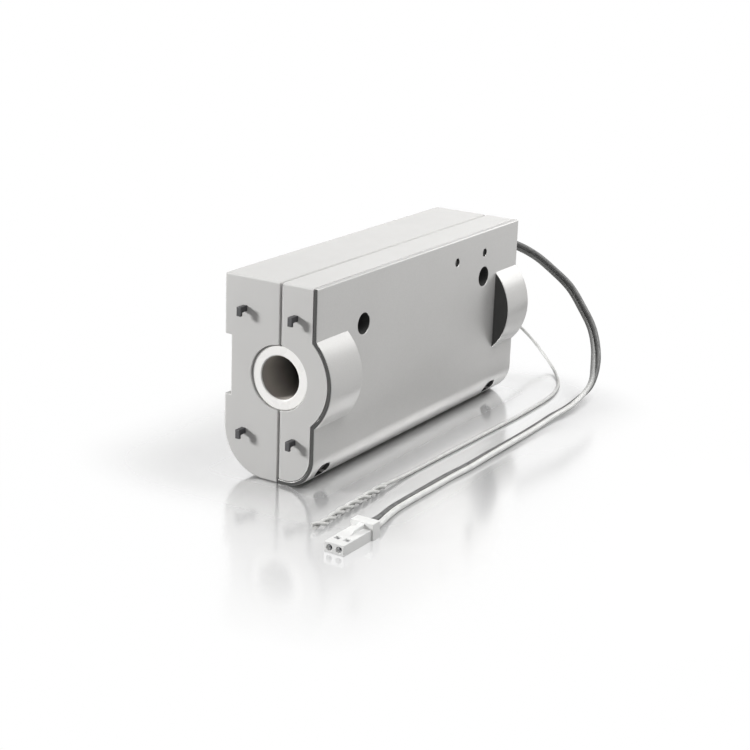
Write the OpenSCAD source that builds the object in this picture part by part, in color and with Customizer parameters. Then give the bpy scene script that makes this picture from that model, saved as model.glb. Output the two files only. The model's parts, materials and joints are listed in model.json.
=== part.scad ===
// Venetian blind motor: a geared motor that turns a hollow drive tube through a slim housing.
// X runs along the drive tube, the front cover faces -Y, and the motor stands on z = 0.
// All sizes are in millimetres.

/* [Housing] */
// Length of the housing along the drive tube
body_l = 100; // [99:0.5:102]
// Depth from the flat front to the flat rear
body_d = 26.5; // [26:0.5:27]
// Height of the housing
body_h = 50; // [50:0.5:52]
// Radius of the bottom edge at the front
front_r = 8; // [7.5:0.5:8.5]
// Radius of the bottom edge at the rear
rear_r = 12; // [11.5:0.5:12.5]
// Wall of the two chassis shells
shell_t = 1.4; // [1.3:0.1:1.5]
// End wall of the two chassis shells
end_t = 1.8; // [1.7:0.1:1.9]
// Thickness of the front cover
cover_t = 1.1; // [1:0.1:1.1]
// Depth of the channel along the rear
channel_depth = 2; // [1:0.5:2]
// Height of the channel along the rear
channel_h = 15; // [12:0.5:15]
// Height of the middle of the channel
channel_z = 27.3; // [26.5:0.1:28]

/* [Drive tube] */
// Distance of the tube's axis behind the flat front
axis_depth = 10.5; // [10.4:0.1:10.6]
// Height of the tube's axis
axis_z = 26.5; // [26.4:0.1:26.6]
// Bore that takes the blind's rod or its adapter
bore_d = 10.8; // [10.4:0.1:11]
// Outside of the drive tube
tube_d = 13; // [12.8:0.1:13]
// Outside of the white drive bushes
bush_d = 16; // [15.8:0.1:16.2]
// Depth of the bush face inside the end of the housing
bush_sink = 0.5; // [0.3:0.1:0.6]
// Radius of the two bulges on the cover
barrel_r = 15; // [14.8:0.1:15.2]
// Length of the bulge at the near end
near_barrel_l = 13.5; // [13:0.5:14]
// Length of the bulge at the far end
far_barrel_l = 12; // [11:0.5:12]

/* [Gears] */
// Module of the output pair
output_module = 0.7; // [0.7:0.01:0.7]
// Teeth of the output gear
output_teeth = 34; // [34:1:34]
// Teeth of the drive pinion
pinion_teeth = 10; // [10:1:10]
// Module of the two planetary stages
planet_module = 0.34; // [0.33:0.01:0.34]
// Teeth of each sun gear
sun_teeth = 9; // [9:1:9]
// Teeth of each planet gear
planet_teeth = 15; // [15:1:15]
// Share of the pitch half that a tooth fills
tooth_fill = 0.8; // [0.76:0.01:0.82]

/* [Motor] */
// Outside of the motor can
motor_d = 16; // [15.6:0.1:16]
// Length of the motor can
motor_l = 30; // [28:1:32]
// Distance of the motor's axis behind the flat front
motor_depth = 12.75; // [12.6:0.05:12.9]

/* [Fasteners and holes] */
// Places of the upper screws along the housing
upper_screw_x = [-29.5, 31]; // [-31:0.5:32]
// Height of the upper screws
upper_screw_z = 37.4; // [37.4:0.1:37.6]
// Opening for an upper screw
upper_hole_d = 5.4; // [5:0.1:5.4]
// Places of the lower screws along the housing
lower_screw_x = [-44.2, 39.5]; // [-44.5:0.1:40]
// Height of the lower screws
lower_screw_z = 3.9; // [3.8:0.1:4]
// Height of the opening for a lower screw
lower_hole_d = 3.4; // [3:0.1:3.4]
// Length of the opening for a lower screw
lower_slot_l = 5.4; // [5:0.1:5.6]
// Place of the indicator along the housing
led_x = 16; // [14:0.5:17]
// Place of the button along the housing
button_x = 31; // [30.5:0.5:31.5]
// Height of the indicator and the button
small_hole_z = 44; // [43.9:0.1:44.2]
// Opening for the indicator or the button
small_hole_d = 2.2; // [2:0.1:2.2]
// Travel of the button
button_travel = 0.4; // [0.3:0.1:0.4]
// Width of a hook on an end face
hook_w = 1.3; // [1.2:0.1:1.5]
// Height of a hook's stem
hook_h = 1.4; // [1.3:0.1:1.6]
// Reach of a hook past the end face
hook_l = 2.6; // [2.2:0.1:2.8]
// Distance between the hooks across the end face
hook_span_y = 14.6; // [14:0.2:15]
// Distance between the hooks up the end face
hook_span_z = 30.6; // [30:0.2:31]

/* [Leads] */
// Width of the flat power cable
cable_w = 2.9; // [2.6:0.1:3]
// Thickness of the flat power cable
cable_t = 1.4; // [1.3:0.1:1.5]
// Thickness of the aerial wire
wire_d = 0.9; // [0.8:0.1:1]
// Outside of the aerial's twisted end
twist_d = 1.8; // [1.6:0.1:1.9]

/* [Hidden] */

$fn = 64;
near_x = -body_l / 2;
far_x = body_l / 2;
barrel_proud = barrel_r - axis_depth;
front_y = -(body_d - barrel_proud) / 2;
rear_y = front_y + body_d;
axis_y = front_y + axis_depth;
motor_y = front_y + motor_depth;
axis_gap = output_module * (output_teeth + pinion_teeth) / 2;
motor_z = axis_z - sqrt(axis_gap * axis_gap - pow(motor_y - axis_y, 2));

// The cover lies over the front chassis shell with this gap
cover_gap = 0.1;
chassis_in = cover_t + cover_gap;
running_gap = 0.08;
pin_gap = 0.05;
seam_w = 0.7;
seam_deep = 0.4;
far_away = 200;

near_barrel_x = near_x + near_barrel_l;
far_barrel_x = far_x - far_barrel_l;
bush_x = body_l / 2 - bush_sink;
bush_flange_x = bush_x - 4.3;
bush_inner_x = bush_flange_x - 1;
collar_r = bush_d / 2 + 1.5;
tube_end_x = bush_x - 0.6;

// Sleeves of the cover that reach into the front shell's screw bosses
sleeve_d = upper_hole_d + 1;
sleeve_end_y = front_y + 4.4;

hook_y = (front_y + rear_y) / 2;
hook_z = 26.8;
hook_root = 1.2;
nib_l = 0.7;
nib_drop = 0.9;

// Board and what it carries
board_t = 1.6;
board_front_y = axis_y - 1.65;
board_rear_y = board_front_y + board_t;
board_bottom_z = 34.4;
board_top_z = 47.8;

// Places along the geared motor
gearhead_x = -36;
motor_x = -22;
motor_end_x = motor_x + motor_l;
ring_teeth = sun_teeth + 2 * planet_teeth;
orbit_r = planet_module * (sun_teeth + planet_teeth) / 2;
planet_angles = [90, 210, 330];
planet_l = 3.2;
stage_one_x = -27.5;
stage_two_x = -32.8;
planet_pin_d = 1;
carrier_r = 5.8;
carrier_t = 1.2;
gear_shaft_d = 3;
motor_shaft_d = 1.5;
sun_phase = 90;
pinion_phase = atan2(axis_z - motor_z, axis_y - motor_y);
output_phase = pinion_phase + 180 + 180 / output_teeth;

// Free leads: points down the middle, and for the flat cable the side on which its dark core lies
power_exit_y = 2.5;
power_exit_z = 40.5;
power_route = [
    [54, 2.5, 40.5], [56, 2.5, 40.5], [61, 1.4, 40], [66.5, -2, 38.5], [70, -7, 35.5], [71.5, -12.5, 31.5],
    [71.5, -18, 27.5], [70, -23, 22.5], [67.5, -27.5, 18], [63.5, -31, 13.5], [58.5, -33.5, 9.5],
    [53, -35, 6], [46.5, -35, 4], [40, -34.5, 2.6], [33, -33.5, 1.8], [26, -33, 1.1], [17, -33, 0.9],
    [7, -33, 0.9], [-3, -33, 0.9], [-13, -33, 0.8], [-23, -32.5, 0.7], [-33, -32.5, 0.7],
    [-42, -32.5, 0.7], [-49, -32.8, 0.8], [-54.5, -33.8, 1.1], [-58.5, -34.8, 1.6], [-61.5, -35.2, 1.9],
    [-63.5, -35.2, 1.9]];
power_side = [
    [0, 0, 1], [0, 0, 1], [0.2, 0, 1], [0.3, -0.2, 0.9], [0.4, -0.4, 0.8], [0.4, -0.5, 0.8],
    [0.5, -0.6, 0.6], [0.5, -0.7, 0.5], [0.5, -0.8, 0.4], [0.5, -0.8, 0], [0.6, -0.5, -0.6],
    [0.4, 0.1, -0.8], [0.2, 0.7, -0.6], [0.1, 0.9, -0.4], [0.1, 1, -0.3], [0, 1, -0.3], [0, 1, -0.3],
    [0, 1, -0.3], [0, 1, -0.2], [0, 1, -0.1], [0, 1, 0], [0, 1, 0],
    [0, 1, 0], [0, 1, 0], [0, 1, 0], [0, 1, 0], [0, 1, 0], [0, 1, 0]];
aerial_exit_y = 9.6;
aerial_exit_z = 21;
aerial_route = [
    [52, 9.6, 21], [53.5, 9.6, 21], [57, 9.2, 21], [61, 8.5, 20.4], [65.5, 7.5, 19.5], [69.5, 6, 17.5],
    [73, 4.5, 15.5], [76.5, 2.5, 13], [79, 0, 10], [80, -3.5, 6.6], [79.3, -7, 3.8],
    [77, -10.5, 2], [74, -13.5, 1.1], [70, -16.5, 0.6], [66, -19, 0.5], [62, -20.8, 0.5],
    [57.5, -22.3, 0.5], [53, -23.3, 0.5], [48.5, -23.8, 0.5], [44, -24, 0.5], [38, -24.2, 0.5],
    [30, -24.3, 0.5], [21, -24.2, 0.5], [12, -24, 0.5], [3, -23.8, 0.5], [-6, -23.6, 0.5],
    [-15, -23.4, 0.5], [-24, -23.3, 0.5], [-31, -23.3, 0.7], [-35, -23.3, 0.95], [-36.5, -23.3, 0.95]];
twist_route = [
    [-36.5, -23.3, 0.95], [-38, -23.3, 0.95], [-46.5, -23.6, 0.95], [-54, -23.8, 0.95],
    [-60, -24, 0.95], [-64.3, -24.7, 0.95], [-67, -24.5, 1], [-69.5, -24.1, 1.1]];
connector_back_x = -63.5;
connector_l = 14.2;
connector_w = 5.2;
connector_h = 2.6;
connector_y = -35.2;
connector_pitch = 2.5;

// An outline in the YZ plane, drawn out between two places along X
module slab(x0, x1) {
    translate([x0, 0, 0])
        rotate([90, 0, 90])
            linear_extrude(height = x1 - x0)
                children();
}

// A rod along X
module rod(x0, x1, d, y = 0, z = 0) {
    translate([x0, y, z])
        rotate([0, 90, 0])
            cylinder(h = x1 - x0, d = d);
}

// A rod along Y
module pin_y(x, y0, y1, z, d) {
    translate([x, y0, z])
        rotate([-90, 0, 0])
            cylinder(h = y1 - y0, d = d);
}

// A slot along X, drawn out along Y
module slot_y(x, y0, y1, z, l, h) {
    for (side = [-1, 1])
        pin_y(x + side * (l - h) / 2, y0, y1, z, h);
    block([x - (l - h) / 2, y0, z - h / 2], [x + (l - h) / 2, y1, z + h / 2]);
}

// A block between two corners
module block(a, b) {
    translate(a)
        cube(b - a);
}

// A disc about the drive tube's axis, in the YZ plane
module disc(r) {
    translate([axis_y, axis_z])
        circle(r);
}

// What rounding takes off a bottom corner: side is 1 for the front and -1 for the rear
module corner_waste(edge, floor, r, side) {
    difference() {
        translate([side > 0 ? edge - 1 : edge - r, floor - 1])
            square([r + 1, r + 1]);
        translate([edge + side * r, floor + r])
            circle(r);
    }
}

// The front half of the housing's outline, set in by d at the front and below, and by top above
module front_outline(d, top) {
    difference() {
        translate([front_y + d, d])
            square([axis_depth - d, body_h - d - top]);
        corner_waste(front_y + d, d, front_r - d, 1);
    }
}

// The rear half of the housing's outline, set in by d
module rear_outline(d) {
    difference() {
        translate([axis_y, d])
            square([body_d - axis_depth - d, body_h - 2 * d]);
        corner_waste(rear_y - d, d, rear_r - d, -1);
        translate([rear_y - channel_depth - d, channel_z - channel_h / 2 - d])
            square([channel_depth + 2 * d + 1, channel_h + 2 * d]);
    }
}

// Everything in front of a line
module ahead(y) {
    translate([y - far_away, -far_away / 2])
        square([far_away, far_away]);
}

module behind(y) {
    translate([y, -far_away / 2])
        square([far_away, far_away]);
}

// One bulge of the cover, between two places along X
module barrel(x0, x1, r) {
    slab(x0, x1)
        intersection() {
            disc(r);
            ahead(front_y + cover_t);
        }
}

module cover_holes() {
    for (x = upper_screw_x)
        pin_y(x, front_y - 1, sleeve_end_y + 1, upper_screw_z, upper_hole_d);
    for (x = lower_screw_x)
        slot_y(x, front_y - 1, axis_y - 5, lower_screw_z, lower_slot_l, lower_hole_d);
    for (x = [led_x, button_x])
        pin_y(x, front_y - 1, front_y + 4, small_hole_z, small_hole_d);
}

module front_cover() color([0.72, 0.71, 0.69]) {
    seam_back = 0.2;
    difference() {
        union() {
            difference() {
                union() {
                    slab(near_x, far_x)
                        intersection() {
                            front_outline(0, 0);
                            ahead(axis_y - seam_back);
                        }
                    barrel(near_x, near_barrel_x, barrel_r);
                    barrel(far_barrel_x, far_x, barrel_r);
                }
                slab(-far_away / 2, far_away / 2) {
                    front_outline(cover_t, 0);
                    translate([front_y + cover_t, body_h / 2])
                        square([body_d, body_h]);
                }
                barrel(near_x - 1, near_barrel_x - cover_t, barrel_r - cover_t);
                barrel(far_barrel_x + cover_t, far_x + 1, barrel_r - cover_t);
            }
            // Sleeves that line the holes of the upper screws
            for (x = upper_screw_x)
                pin_y(x, front_y + cover_t / 2, sleeve_end_y, upper_screw_z, sleeve_d);
        }
        cover_holes();
    }
}

// A pocket or a hook root at each of the four places on an end face
module at_hooks() {
    for (y = [-1, 1] * hook_span_y / 2, z = [-1, 1] * hook_span_z / 2)
        translate([0, hook_y + y, hook_z + z])
            children();
}

module hook_pockets() {
    for (side = [-1, 1])
        scale_x(side)
            at_hooks()
                block([body_l / 2 - hook_root, -hook_w / 2, -hook_h / 2],
                    [body_l / 2 + 1, hook_w / 2, hook_h / 2]);
}

// Turns a shape drawn for the far end to either end
module scale_x(side) {
    if (side < 0)
        mirror([1, 0, 0])
            children();
    else
        children();
}

// Holes that run through both chassis shells
module shell_holes() {
    for (side = [-1, 1])
        scale_x(side)
            rod(body_l / 2 - 10, body_l / 2 + 1, bush_d + 2 * running_gap, axis_y, axis_z);
    hook_pockets();
}

// The collar that carries a bush inside each end wall
module collars() {
    for (side = [-1, 1])
        scale_x(side)
            rod(bush_flange_x + 0.2, body_l / 2 - end_t + 0.2, 2 * collar_r, axis_y, axis_z);
}

module cradle_ribs(z_top) {
    for (x = [motor_x + 5.5, motor_end_x - 5.5])
        slab(x, x + 2)
            difference() {
                translate([front_y, 0])
                    square([body_d, z_top]);
                translate([motor_y, motor_z])
                    circle(d = motor_d + 1.8);
            }
}

module front_half_only() {
    intersection() {
        children();
        slab(near_x, far_x)
            ahead(axis_y);
    }
}

module rear_half_only() {
    intersection() {
        children();
        slab(near_x, far_x)
            behind(axis_y);
    }
}

screw_boss_d = 8;
counterbore_y = front_y + 6.5;
screw_core_d = 2.3;
lower_boss_d = 4.6;
lower_front_boss_d = 6.6;
lower_core_d = 1.8;
lower_seat_y = axis_y - 5.4;

module front_shell() color([0.83, 0.83, 0.84]) {
    inner = chassis_in + shell_t;
    difference() {
        union() {
            difference() {
                union() {
                    slab(near_x, far_x)
                        front_outline(chassis_in, 0);
                    for (side = [-1, 1])
                        scale_x(side)
                            slab(body_l / 2 - end_t, body_l / 2)
                                intersection() {
                                    disc(barrel_r - chassis_in);
                                    ahead(axis_y);
                                }
                }
                slab(near_x + end_t, far_x - end_t)
                    front_outline(inner, shell_t);
                // Windows behind the two bulges
                slab(near_x + end_t, near_barrel_x - cover_t - 0.3)
                    disc(barrel_r - chassis_in - 0.2);
                slab(far_barrel_x + cover_t + 0.3, far_x - end_t)
                    disc(barrel_r - chassis_in - 0.2);
            }
            front_half_only()
                collars();
            intersection() {
                cradle_ribs(18.4);
                slab(near_x, far_x)
                    front_outline(chassis_in, 0);
            }
            for (x = upper_screw_x)
                pin_y(x, front_y + chassis_in, board_front_y, upper_screw_z, screw_boss_d);
            intersection() {
                for (x = lower_screw_x)
                    pin_y(x, front_y, axis_y, lower_screw_z, lower_front_boss_d);
                slab(near_x, far_x)
                    front_outline(chassis_in, 0);
            }
        }
        shell_holes();
        for (x = upper_screw_x) {
            pin_y(x, front_y, sleeve_end_y + 0.1, upper_screw_z, sleeve_d + 0.2);
            pin_y(x, front_y, counterbore_y, upper_screw_z, upper_hole_d);
            pin_y(x, front_y, axis_y, upper_screw_z, screw_core_d + 0.5);
        }
        for (x = lower_screw_x) {
            slot_y(x, front_y - 1, lower_seat_y, lower_screw_z, lower_slot_l, lower_hole_d);
            pin_y(x, front_y - 1, axis_y + 1, lower_screw_z, lower_core_d + 0.4);
        }
        for (x = [led_x, button_x])
            pin_y(x, front_y, axis_y, small_hole_z, small_hole_d);
        // Parting groove at the top and on both end faces
        block([near_x - 1, axis_y - seam_w, body_h - seam_deep], [far_x + 1, axis_y + 1, body_h + 1]);
        for (side = [-1, 1])
            scale_x(side)
                block([far_x - seam_deep, axis_y - seam_w, -1], [far_x + 1, axis_y + 1, body_h + 1]);
    }
}

power_slot = [3.8, 5.4];
aerial_hole_d = 3;

module rear_shell() color([0.83, 0.83, 0.84]) {
    difference() {
        union() {
            difference() {
                slab(near_x, far_x)
                    rear_outline(0);
                slab(near_x + end_t, far_x - end_t)
                    rear_outline(shell_t);
            }
            rear_half_only()
                collars();
            intersection() {
                cradle_ribs(18.4);
                slab(near_x, far_x)
                    rear_outline(0.2);
            }
            for (x = upper_screw_x)
                pin_y(x, board_rear_y, rear_y - 0.5, upper_screw_z, screw_boss_d - 2);
            intersection() {
                for (x = lower_screw_x)
                    pin_y(x, axis_y, axis_y + 7, lower_screw_z, lower_boss_d);
                slab(near_x, far_x)
                    rear_outline(0.2);
            }
            // Outer bearing of the gearhead's shaft
            rear_half_only()
                rod(near_x + 1, near_x + end_t + 2, gear_shaft_d + 2.4, motor_y, motor_z);
        }
        shell_holes();
        for (x = upper_screw_x)
            pin_y(x, axis_y - 1, axis_y + 10, upper_screw_z, screw_core_d);
        for (x = lower_screw_x)
            pin_y(x, axis_y - 1, axis_y + 5.2, lower_screw_z, lower_core_d);
        rod(near_x + 1.2, near_x + 6, gear_shaft_d + 2 * pin_gap, motor_y, motor_z);
        block([far_x - 5, power_exit_y - power_slot[0] / 2, power_exit_z - power_slot[1] / 2],
            [far_x + 1, power_exit_y + power_slot[0] / 2, power_exit_z + power_slot[1] / 2]);
        rod(far_x - 5, far_x + 1, aerial_hole_d, aerial_exit_y, aerial_exit_z);
    }
}

module end_hooks() color([0.2, 0.2, 0.21]) {
    for (side = [-1, 1])
        scale_x(side)
            at_hooks()
                union() {
                    block([far_x - hook_root, -hook_w / 2, -hook_h / 2],
                        [far_x + hook_l, hook_w / 2, hook_h / 2]);
                    block([far_x + hook_l - nib_l, -hook_w / 2, -hook_h / 2 - nib_drop],
                        [far_x + hook_l, hook_w / 2, -hook_h / 2]);
                }
}

// A pan head screw along Y with a cross recess
module screw(x, z, seat_y, head_d, head_h, core_d, length) {
    difference() {
        union() {
            pin_y(x, seat_y - head_h, seat_y, z, head_d);
            pin_y(x, seat_y, seat_y + length, z, core_d);
        }
        for (a = [0, 90])
            translate([x, seat_y - head_h, z])
                rotate([0, a, 0])
                    cube([head_d * 0.6, head_h, head_d * 0.14], center = true);
    }
}

module upper_screws() color([0.25, 0.25, 0.27]) {
    for (x = upper_screw_x)
        screw(x, upper_screw_z, counterbore_y, 4.6, 1.8, screw_core_d, 12);
}

module lower_screws() color([0.25, 0.25, 0.27]) {
    for (x = lower_screw_x)
        screw(x, lower_screw_z, lower_seat_y, 3, 1.2, lower_core_d, 10);
}

module drive_tube() color([0.3, 0.3, 0.31]) {
    key_w = 2;
    key_deep = 0.4;
    difference() {
        rod(-tube_end_x, tube_end_x, tube_d, axis_y, axis_z);
        rod(-far_x, far_x, bore_d, axis_y, axis_z);
        block([-far_x, axis_y - key_w / 2, axis_z + bore_d / 2 - 0.8],
            [far_x, axis_y + key_w / 2, axis_z + bore_d / 2 + key_deep]);
    }
}

// A bush drawn for the far end: a ring in the end wall, a flange inside it, and a socket for the tube
module bush() {
    difference() {
        union() {
            rod(bush_inner_x, bush_x, bush_d, axis_y, axis_z);
            rod(bush_inner_x, bush_flange_x, bush_d + 2.2, axis_y, axis_z);
        }
        rod(bush_inner_x - 1, bush_x + 1, bore_d, axis_y, axis_z);
        rod(bush_inner_x - 1, tube_end_x, tube_d, axis_y, axis_z);
    }
}

module near_bush() color([0.95, 0.95, 0.94])
    mirror([1, 0, 0])
        bush();

module far_bush() color([0.95, 0.95, 0.94])
    bush();

function polar(r, a) = [r * cos(a), r * sin(a)];

// Half the angle that a tooth takes at radius r: lean is 1 on a gear and -1 on a ring
function half_angle(teeth, size, r, lean) =
    (PI / 4 * size * tooth_fill - lean * (r - teeth * size / 2) * tan(20)) / r * 180 / PI;

function tooth(teeth, size, tip, root, lean, a) = [
    polar(root, a - half_angle(teeth, size, root, lean)),
    polar(tip, a - half_angle(teeth, size, tip, lean)),
    polar(tip, a + half_angle(teeth, size, tip, lean)),
    polar(root, a + half_angle(teeth, size, root, lean))];

// The outline of a gear with straight flanks; a ring's outline is its hole
module gear_outline(teeth, size, phase, lean = 1) {
    tip = teeth * size / 2 + lean * 0.8 * size;
    root = teeth * size / 2 - lean * 1.1 * size;
    polygon([for (k = [0 : teeth - 1]) each tooth(teeth, size, tip, root, lean, phase + k * 360 / teeth)]);
}

module output_gear() color([0.9, 0.88, 0.8]) {
    gear_x = near_x + 6.4;
    gear_w = 4.6;
    difference() {
        union() {
            slab(gear_x, gear_x + gear_w)
                translate([axis_y, axis_z])
                    gear_outline(output_teeth, output_module, output_phase);
            rod(gear_x, gear_x + gear_w + 0.7, tube_d + 3.4, axis_y, axis_z);
        }
        rod(gear_x - 1, gear_x + gear_w + 3, tube_d, axis_y, axis_z);
        for (a = [0 : 60 : 300])
            translate([gear_x - 1, axis_y, axis_z])
                rotate([a, 0, 0])
                    rod(0, gear_w + 2, 2.6, 9.4, 0);
    }
}

module magnet_ring() color([0.22, 0.22, 0.23]) {
    difference() {
        rod(40, 44, 17, axis_y, axis_z);
        rod(39, 45, tube_d, axis_y, axis_z);
    }
}

// A rod on the geared motor's axis
module axle(x0, x1, d) {
    rod(x0, x1, d, motor_y, motor_z);
}

module motor_can() color([0.75, 0.76, 0.78]) {
    difference() {
        axle(motor_x, motor_end_x, motor_d);
        axle(motor_x + 0.8, motor_end_x + 1, motor_d - 1.6);
        axle(motor_x - 1, motor_x + 2, 5);
    }
}

module motor_end_cap() color([0.18, 0.18, 0.19]) {
    difference() {
        union() {
            axle(motor_end_x - 1.5, motor_end_x, motor_d - 1.6);
            axle(motor_end_x, motor_end_x + 1.6, motor_d);
            axle(motor_end_x + 1.6, motor_end_x + 3, 6);
        }
        axle(motor_end_x - 2, motor_end_x + 2.2, 4);
        for (y = [-1, 1] * 5)
            block([motor_end_x - 2, motor_y + y - 0.4, motor_z - 1],
                [motor_end_x + 4, motor_y + y + 0.4, motor_z + 1]);
    }
}

module motor_magnets() color([0.25, 0.24, 0.23]) {
    intersection() {
        difference() {
            axle(motor_x + 5, motor_x + 23, motor_d - 1.6);
            axle(motor_x + 4, motor_x + 24, motor_d - 4.2);
        }
        for (side = [-1, 1])
            block([motor_x, motor_y - 6, motor_z + side * 6 - 3],
                [motor_end_x, motor_y + 6, motor_z + side * 6 + 3]);
    }
}

// Sintered bushes at both ends of the motor
module motor_bearings() color([0.7, 0.55, 0.3]) {
    for (x = [motor_x, motor_end_x + 0.2])
        difference() {
            axle(x, x + 2, x == motor_x ? 5 : 4);
            axle(x - 1, x + 3, motor_shaft_d + 2 * pin_gap);
        }
}

// Two terminals with a carbon block each
module motor_brushes() color([0.72, 0.45, 0.25]) {
    for (side = [-1, 1])
        union() {
            block([motor_end_x - 5, motor_y + side * 5 - 0.4, motor_z - 1],
                [motor_end_x + 4, motor_y + side * 5 + 0.4, motor_z + 1]);
            block([motor_end_x - 5, motor_y + side * 3.6 - 1, motor_z - 0.8],
                [motor_end_x - 3, motor_y + side * 3.6 + 1, motor_z + 0.8]);
        }
}

// Rubber rings that hold the motor in the cradle ribs
module motor_dampers() color([0.12, 0.12, 0.12]) {
    for (x = [motor_x + 5, motor_end_x - 6])
        difference() {
            axle(x, x + 3, motor_d + 1.8);
            axle(x - 1, x + 4, motor_d);
        }
}

module motor_shaft() color([0.8, 0.8, 0.82])
    axle(stage_one_x + 0.2, motor_end_x + 2, motor_shaft_d);

module armature_core() color([0.5, 0.5, 0.52]) {
    difference() {
        axle(motor_x + 8, motor_x + 20, 10.8);
        axle(motor_x + 7, motor_x + 21, motor_shaft_d);
        for (a = [30 : 120 : 270])
            translate([motor_x + 7, motor_y, motor_z])
                rotate([a, 0, 0]) {
                    block([0, 2.4, -2], [14, 4.4, 2]);
                    block([0, 4, -0.5], [14, 6, 0.5]);
                }
    }
}

module armature_coils() color([0.75, 0.42, 0.2]) {
    for (a = [30 : 120 : 270])
        translate([motor_x + 6.8, motor_y, motor_z])
            rotate([a, 0, 0])
                block([0, 2.5, -1.9], [14.4, 4.3, 1.9]);
}

module commutator() color([0.78, 0.5, 0.28]) {
    difference() {
        axle(motor_end_x - 6, motor_end_x - 2, 4.6);
        axle(motor_end_x - 7, motor_end_x - 1, motor_shaft_d);
    }
}

// A small gear on the motor's axis
module axle_gear(x0, x1, teeth, size, phase, hole) {
    difference() {
        slab(x0, x1)
            translate([motor_y, motor_z])
                gear_outline(teeth, size, phase);
        if (hole > 0)
            axle(x0 - 1, x1 + 1, hole);
    }
}

module stage_one_sun() color([0.8, 0.65, 0.35])
    axle_gear(stage_one_x + 0.2, stage_one_x + 4, sun_teeth, planet_module, sun_phase, motor_shaft_d);

// Angle of a tooth on a planet that stands at angle a, in mesh with its sun
function planet_phase(a) = a + 180 - (sun_phase - a) * sun_teeth / planet_teeth + 180 / planet_teeth;
ring_phase = planet_angles[0]
    + (planet_phase(planet_angles[0]) + 180 / planet_teeth - planet_angles[0]) * planet_teeth / ring_teeth;

module gearhead_housing() color([0.6, 0.61, 0.63]) {
    difference() {
        union() {
            axle(gearhead_x, motor_x, motor_d + 0.4);
            axle(gearhead_x - 1.4, gearhead_x + 1, 6);
        }
        slab(gearhead_x + 1.5, motor_x - 1.8)
            translate([motor_y, motor_z])
                gear_outline(ring_teeth, planet_module, ring_phase, -1);
        axle(motor_x - 1.8, motor_x + 1, 14);
        axle(gearhead_x - 2, gearhead_x + 2, gear_shaft_d + 2 * pin_gap);
    }
}

// A plate with three planet pins that point away from it towards the motor
module carrier(plate_x, plate_d) {
    union() {
        axle(plate_x, plate_x + carrier_t, plate_d);
        for (a = planet_angles)
            rod(plate_x + carrier_t, plate_x + carrier_t + planet_l + 0.4, planet_pin_d,
                motor_y + orbit_r * cos(a), motor_z + orbit_r * sin(a));
    }
}

module stage_one_carrier() color([0.7, 0.7, 0.72])
    carrier(stage_one_x - carrier_t - 0.2, 2 * carrier_r);

module stage_two_sun() color([0.8, 0.65, 0.35])
    axle_gear(stage_two_x + 0.1, stage_one_x - carrier_t - 0.2, sun_teeth, planet_module, sun_phase, 0);

module stage_two_carrier() color([0.7, 0.7, 0.72])
    carrier(stage_two_x - carrier_t - 0.2, 2 * carrier_r);

module gearhead_shaft() color([0.8, 0.8, 0.82])
    axle(near_x + end_t + 0.3, stage_two_x - carrier_t - 0.2, gear_shaft_d);

module drive_pinion() color([0.8, 0.65, 0.35])
    axle_gear(near_x + 6, near_x + 11.4, pinion_teeth, output_module, pinion_phase, gear_shaft_d);

module planet(x, a) {
    difference() {
        slab(x, x + planet_l)
            translate([motor_y + orbit_r * cos(a), motor_z + orbit_r * sin(a)])
                gear_outline(planet_teeth, planet_module, planet_phase(a));
        rod(x - 1, x + planet_l + 1, planet_pin_d + 2 * pin_gap,
            motor_y + orbit_r * cos(a), motor_z + orbit_r * sin(a));
    }
}

module stage_one_planet_a() color([0.93, 0.92, 0.88])
    planet(stage_one_x, planet_angles[0]);
module stage_one_planet_b() color([0.93, 0.92, 0.88])
    planet(stage_one_x, planet_angles[1]);
module stage_one_planet_c() color([0.93, 0.92, 0.88])
    planet(stage_one_x, planet_angles[2]);
module stage_two_planet_a() color([0.93, 0.92, 0.88])
    planet(stage_two_x, planet_angles[0]);
module stage_two_planet_b() color([0.93, 0.92, 0.88])
    planet(stage_two_x, planet_angles[1]);
module stage_two_planet_c() color([0.93, 0.92, 0.88])
    planet(stage_two_x, planet_angles[2]);

module circuit_board() color([0.1, 0.38, 0.22]) {
    difference() {
        union() {
            block([-36.5, board_front_y, board_bottom_z], [38, board_rear_y, board_top_z]);
            block([38, board_front_y, 37.4], [46, board_rear_y, board_top_z]);
        }
        for (x = upper_screw_x)
            pin_y(x, axis_y - 5, axis_y + 5, upper_screw_z, screw_core_d + 0.5);
    }
}

// A part on the front of the board
module on_front(x, z, w, h, deep) {
    block([x - w / 2, board_front_y - deep, z - h / 2], [x + w / 2, board_front_y, z + h / 2]);
}

// A part on the rear of the board
module on_rear(x, z, w, h, deep) {
    block([x - w / 2, board_rear_y, z - h / 2], [x + w / 2, board_rear_y + deep, z + h / 2]);
}

module control_chip() color([0.12, 0.12, 0.13])
    on_front(-12, 41, 7, 7, 1.2);

module driver_chip() color([0.12, 0.12, 0.13])
    on_front(-21, 41, 5, 4, 1.6);

module radio_module() color([0.75, 0.76, 0.78])
    on_front(3, 41.5, 14, 9, 2.2);

// Two can capacitors that lie on the rear of the board
module board_capacitors() color([0.2, 0.22, 0.4]) {
    rod(-22, -11, 6.3, board_rear_y + 3.15, 41.5);
    rod(-7, 1, 5, board_rear_y + 2.5, 42);
}

module hall_sensor() color([0.12, 0.12, 0.13])
    on_front(42, 38.6, 3, 2.2, 1.2);

switch_h = 3.5;

module switch_body() color([0.3, 0.3, 0.31]) {
    difference() {
        on_front(button_x, small_hole_z, 4.5, 4.4, switch_h);
        pin_y(button_x, board_front_y - switch_h - 1, board_front_y - 2, small_hole_z, 2.4);
    }
}

plunger_gap = 0.05;
button_back_y = board_front_y - switch_h - 0.8;

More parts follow.
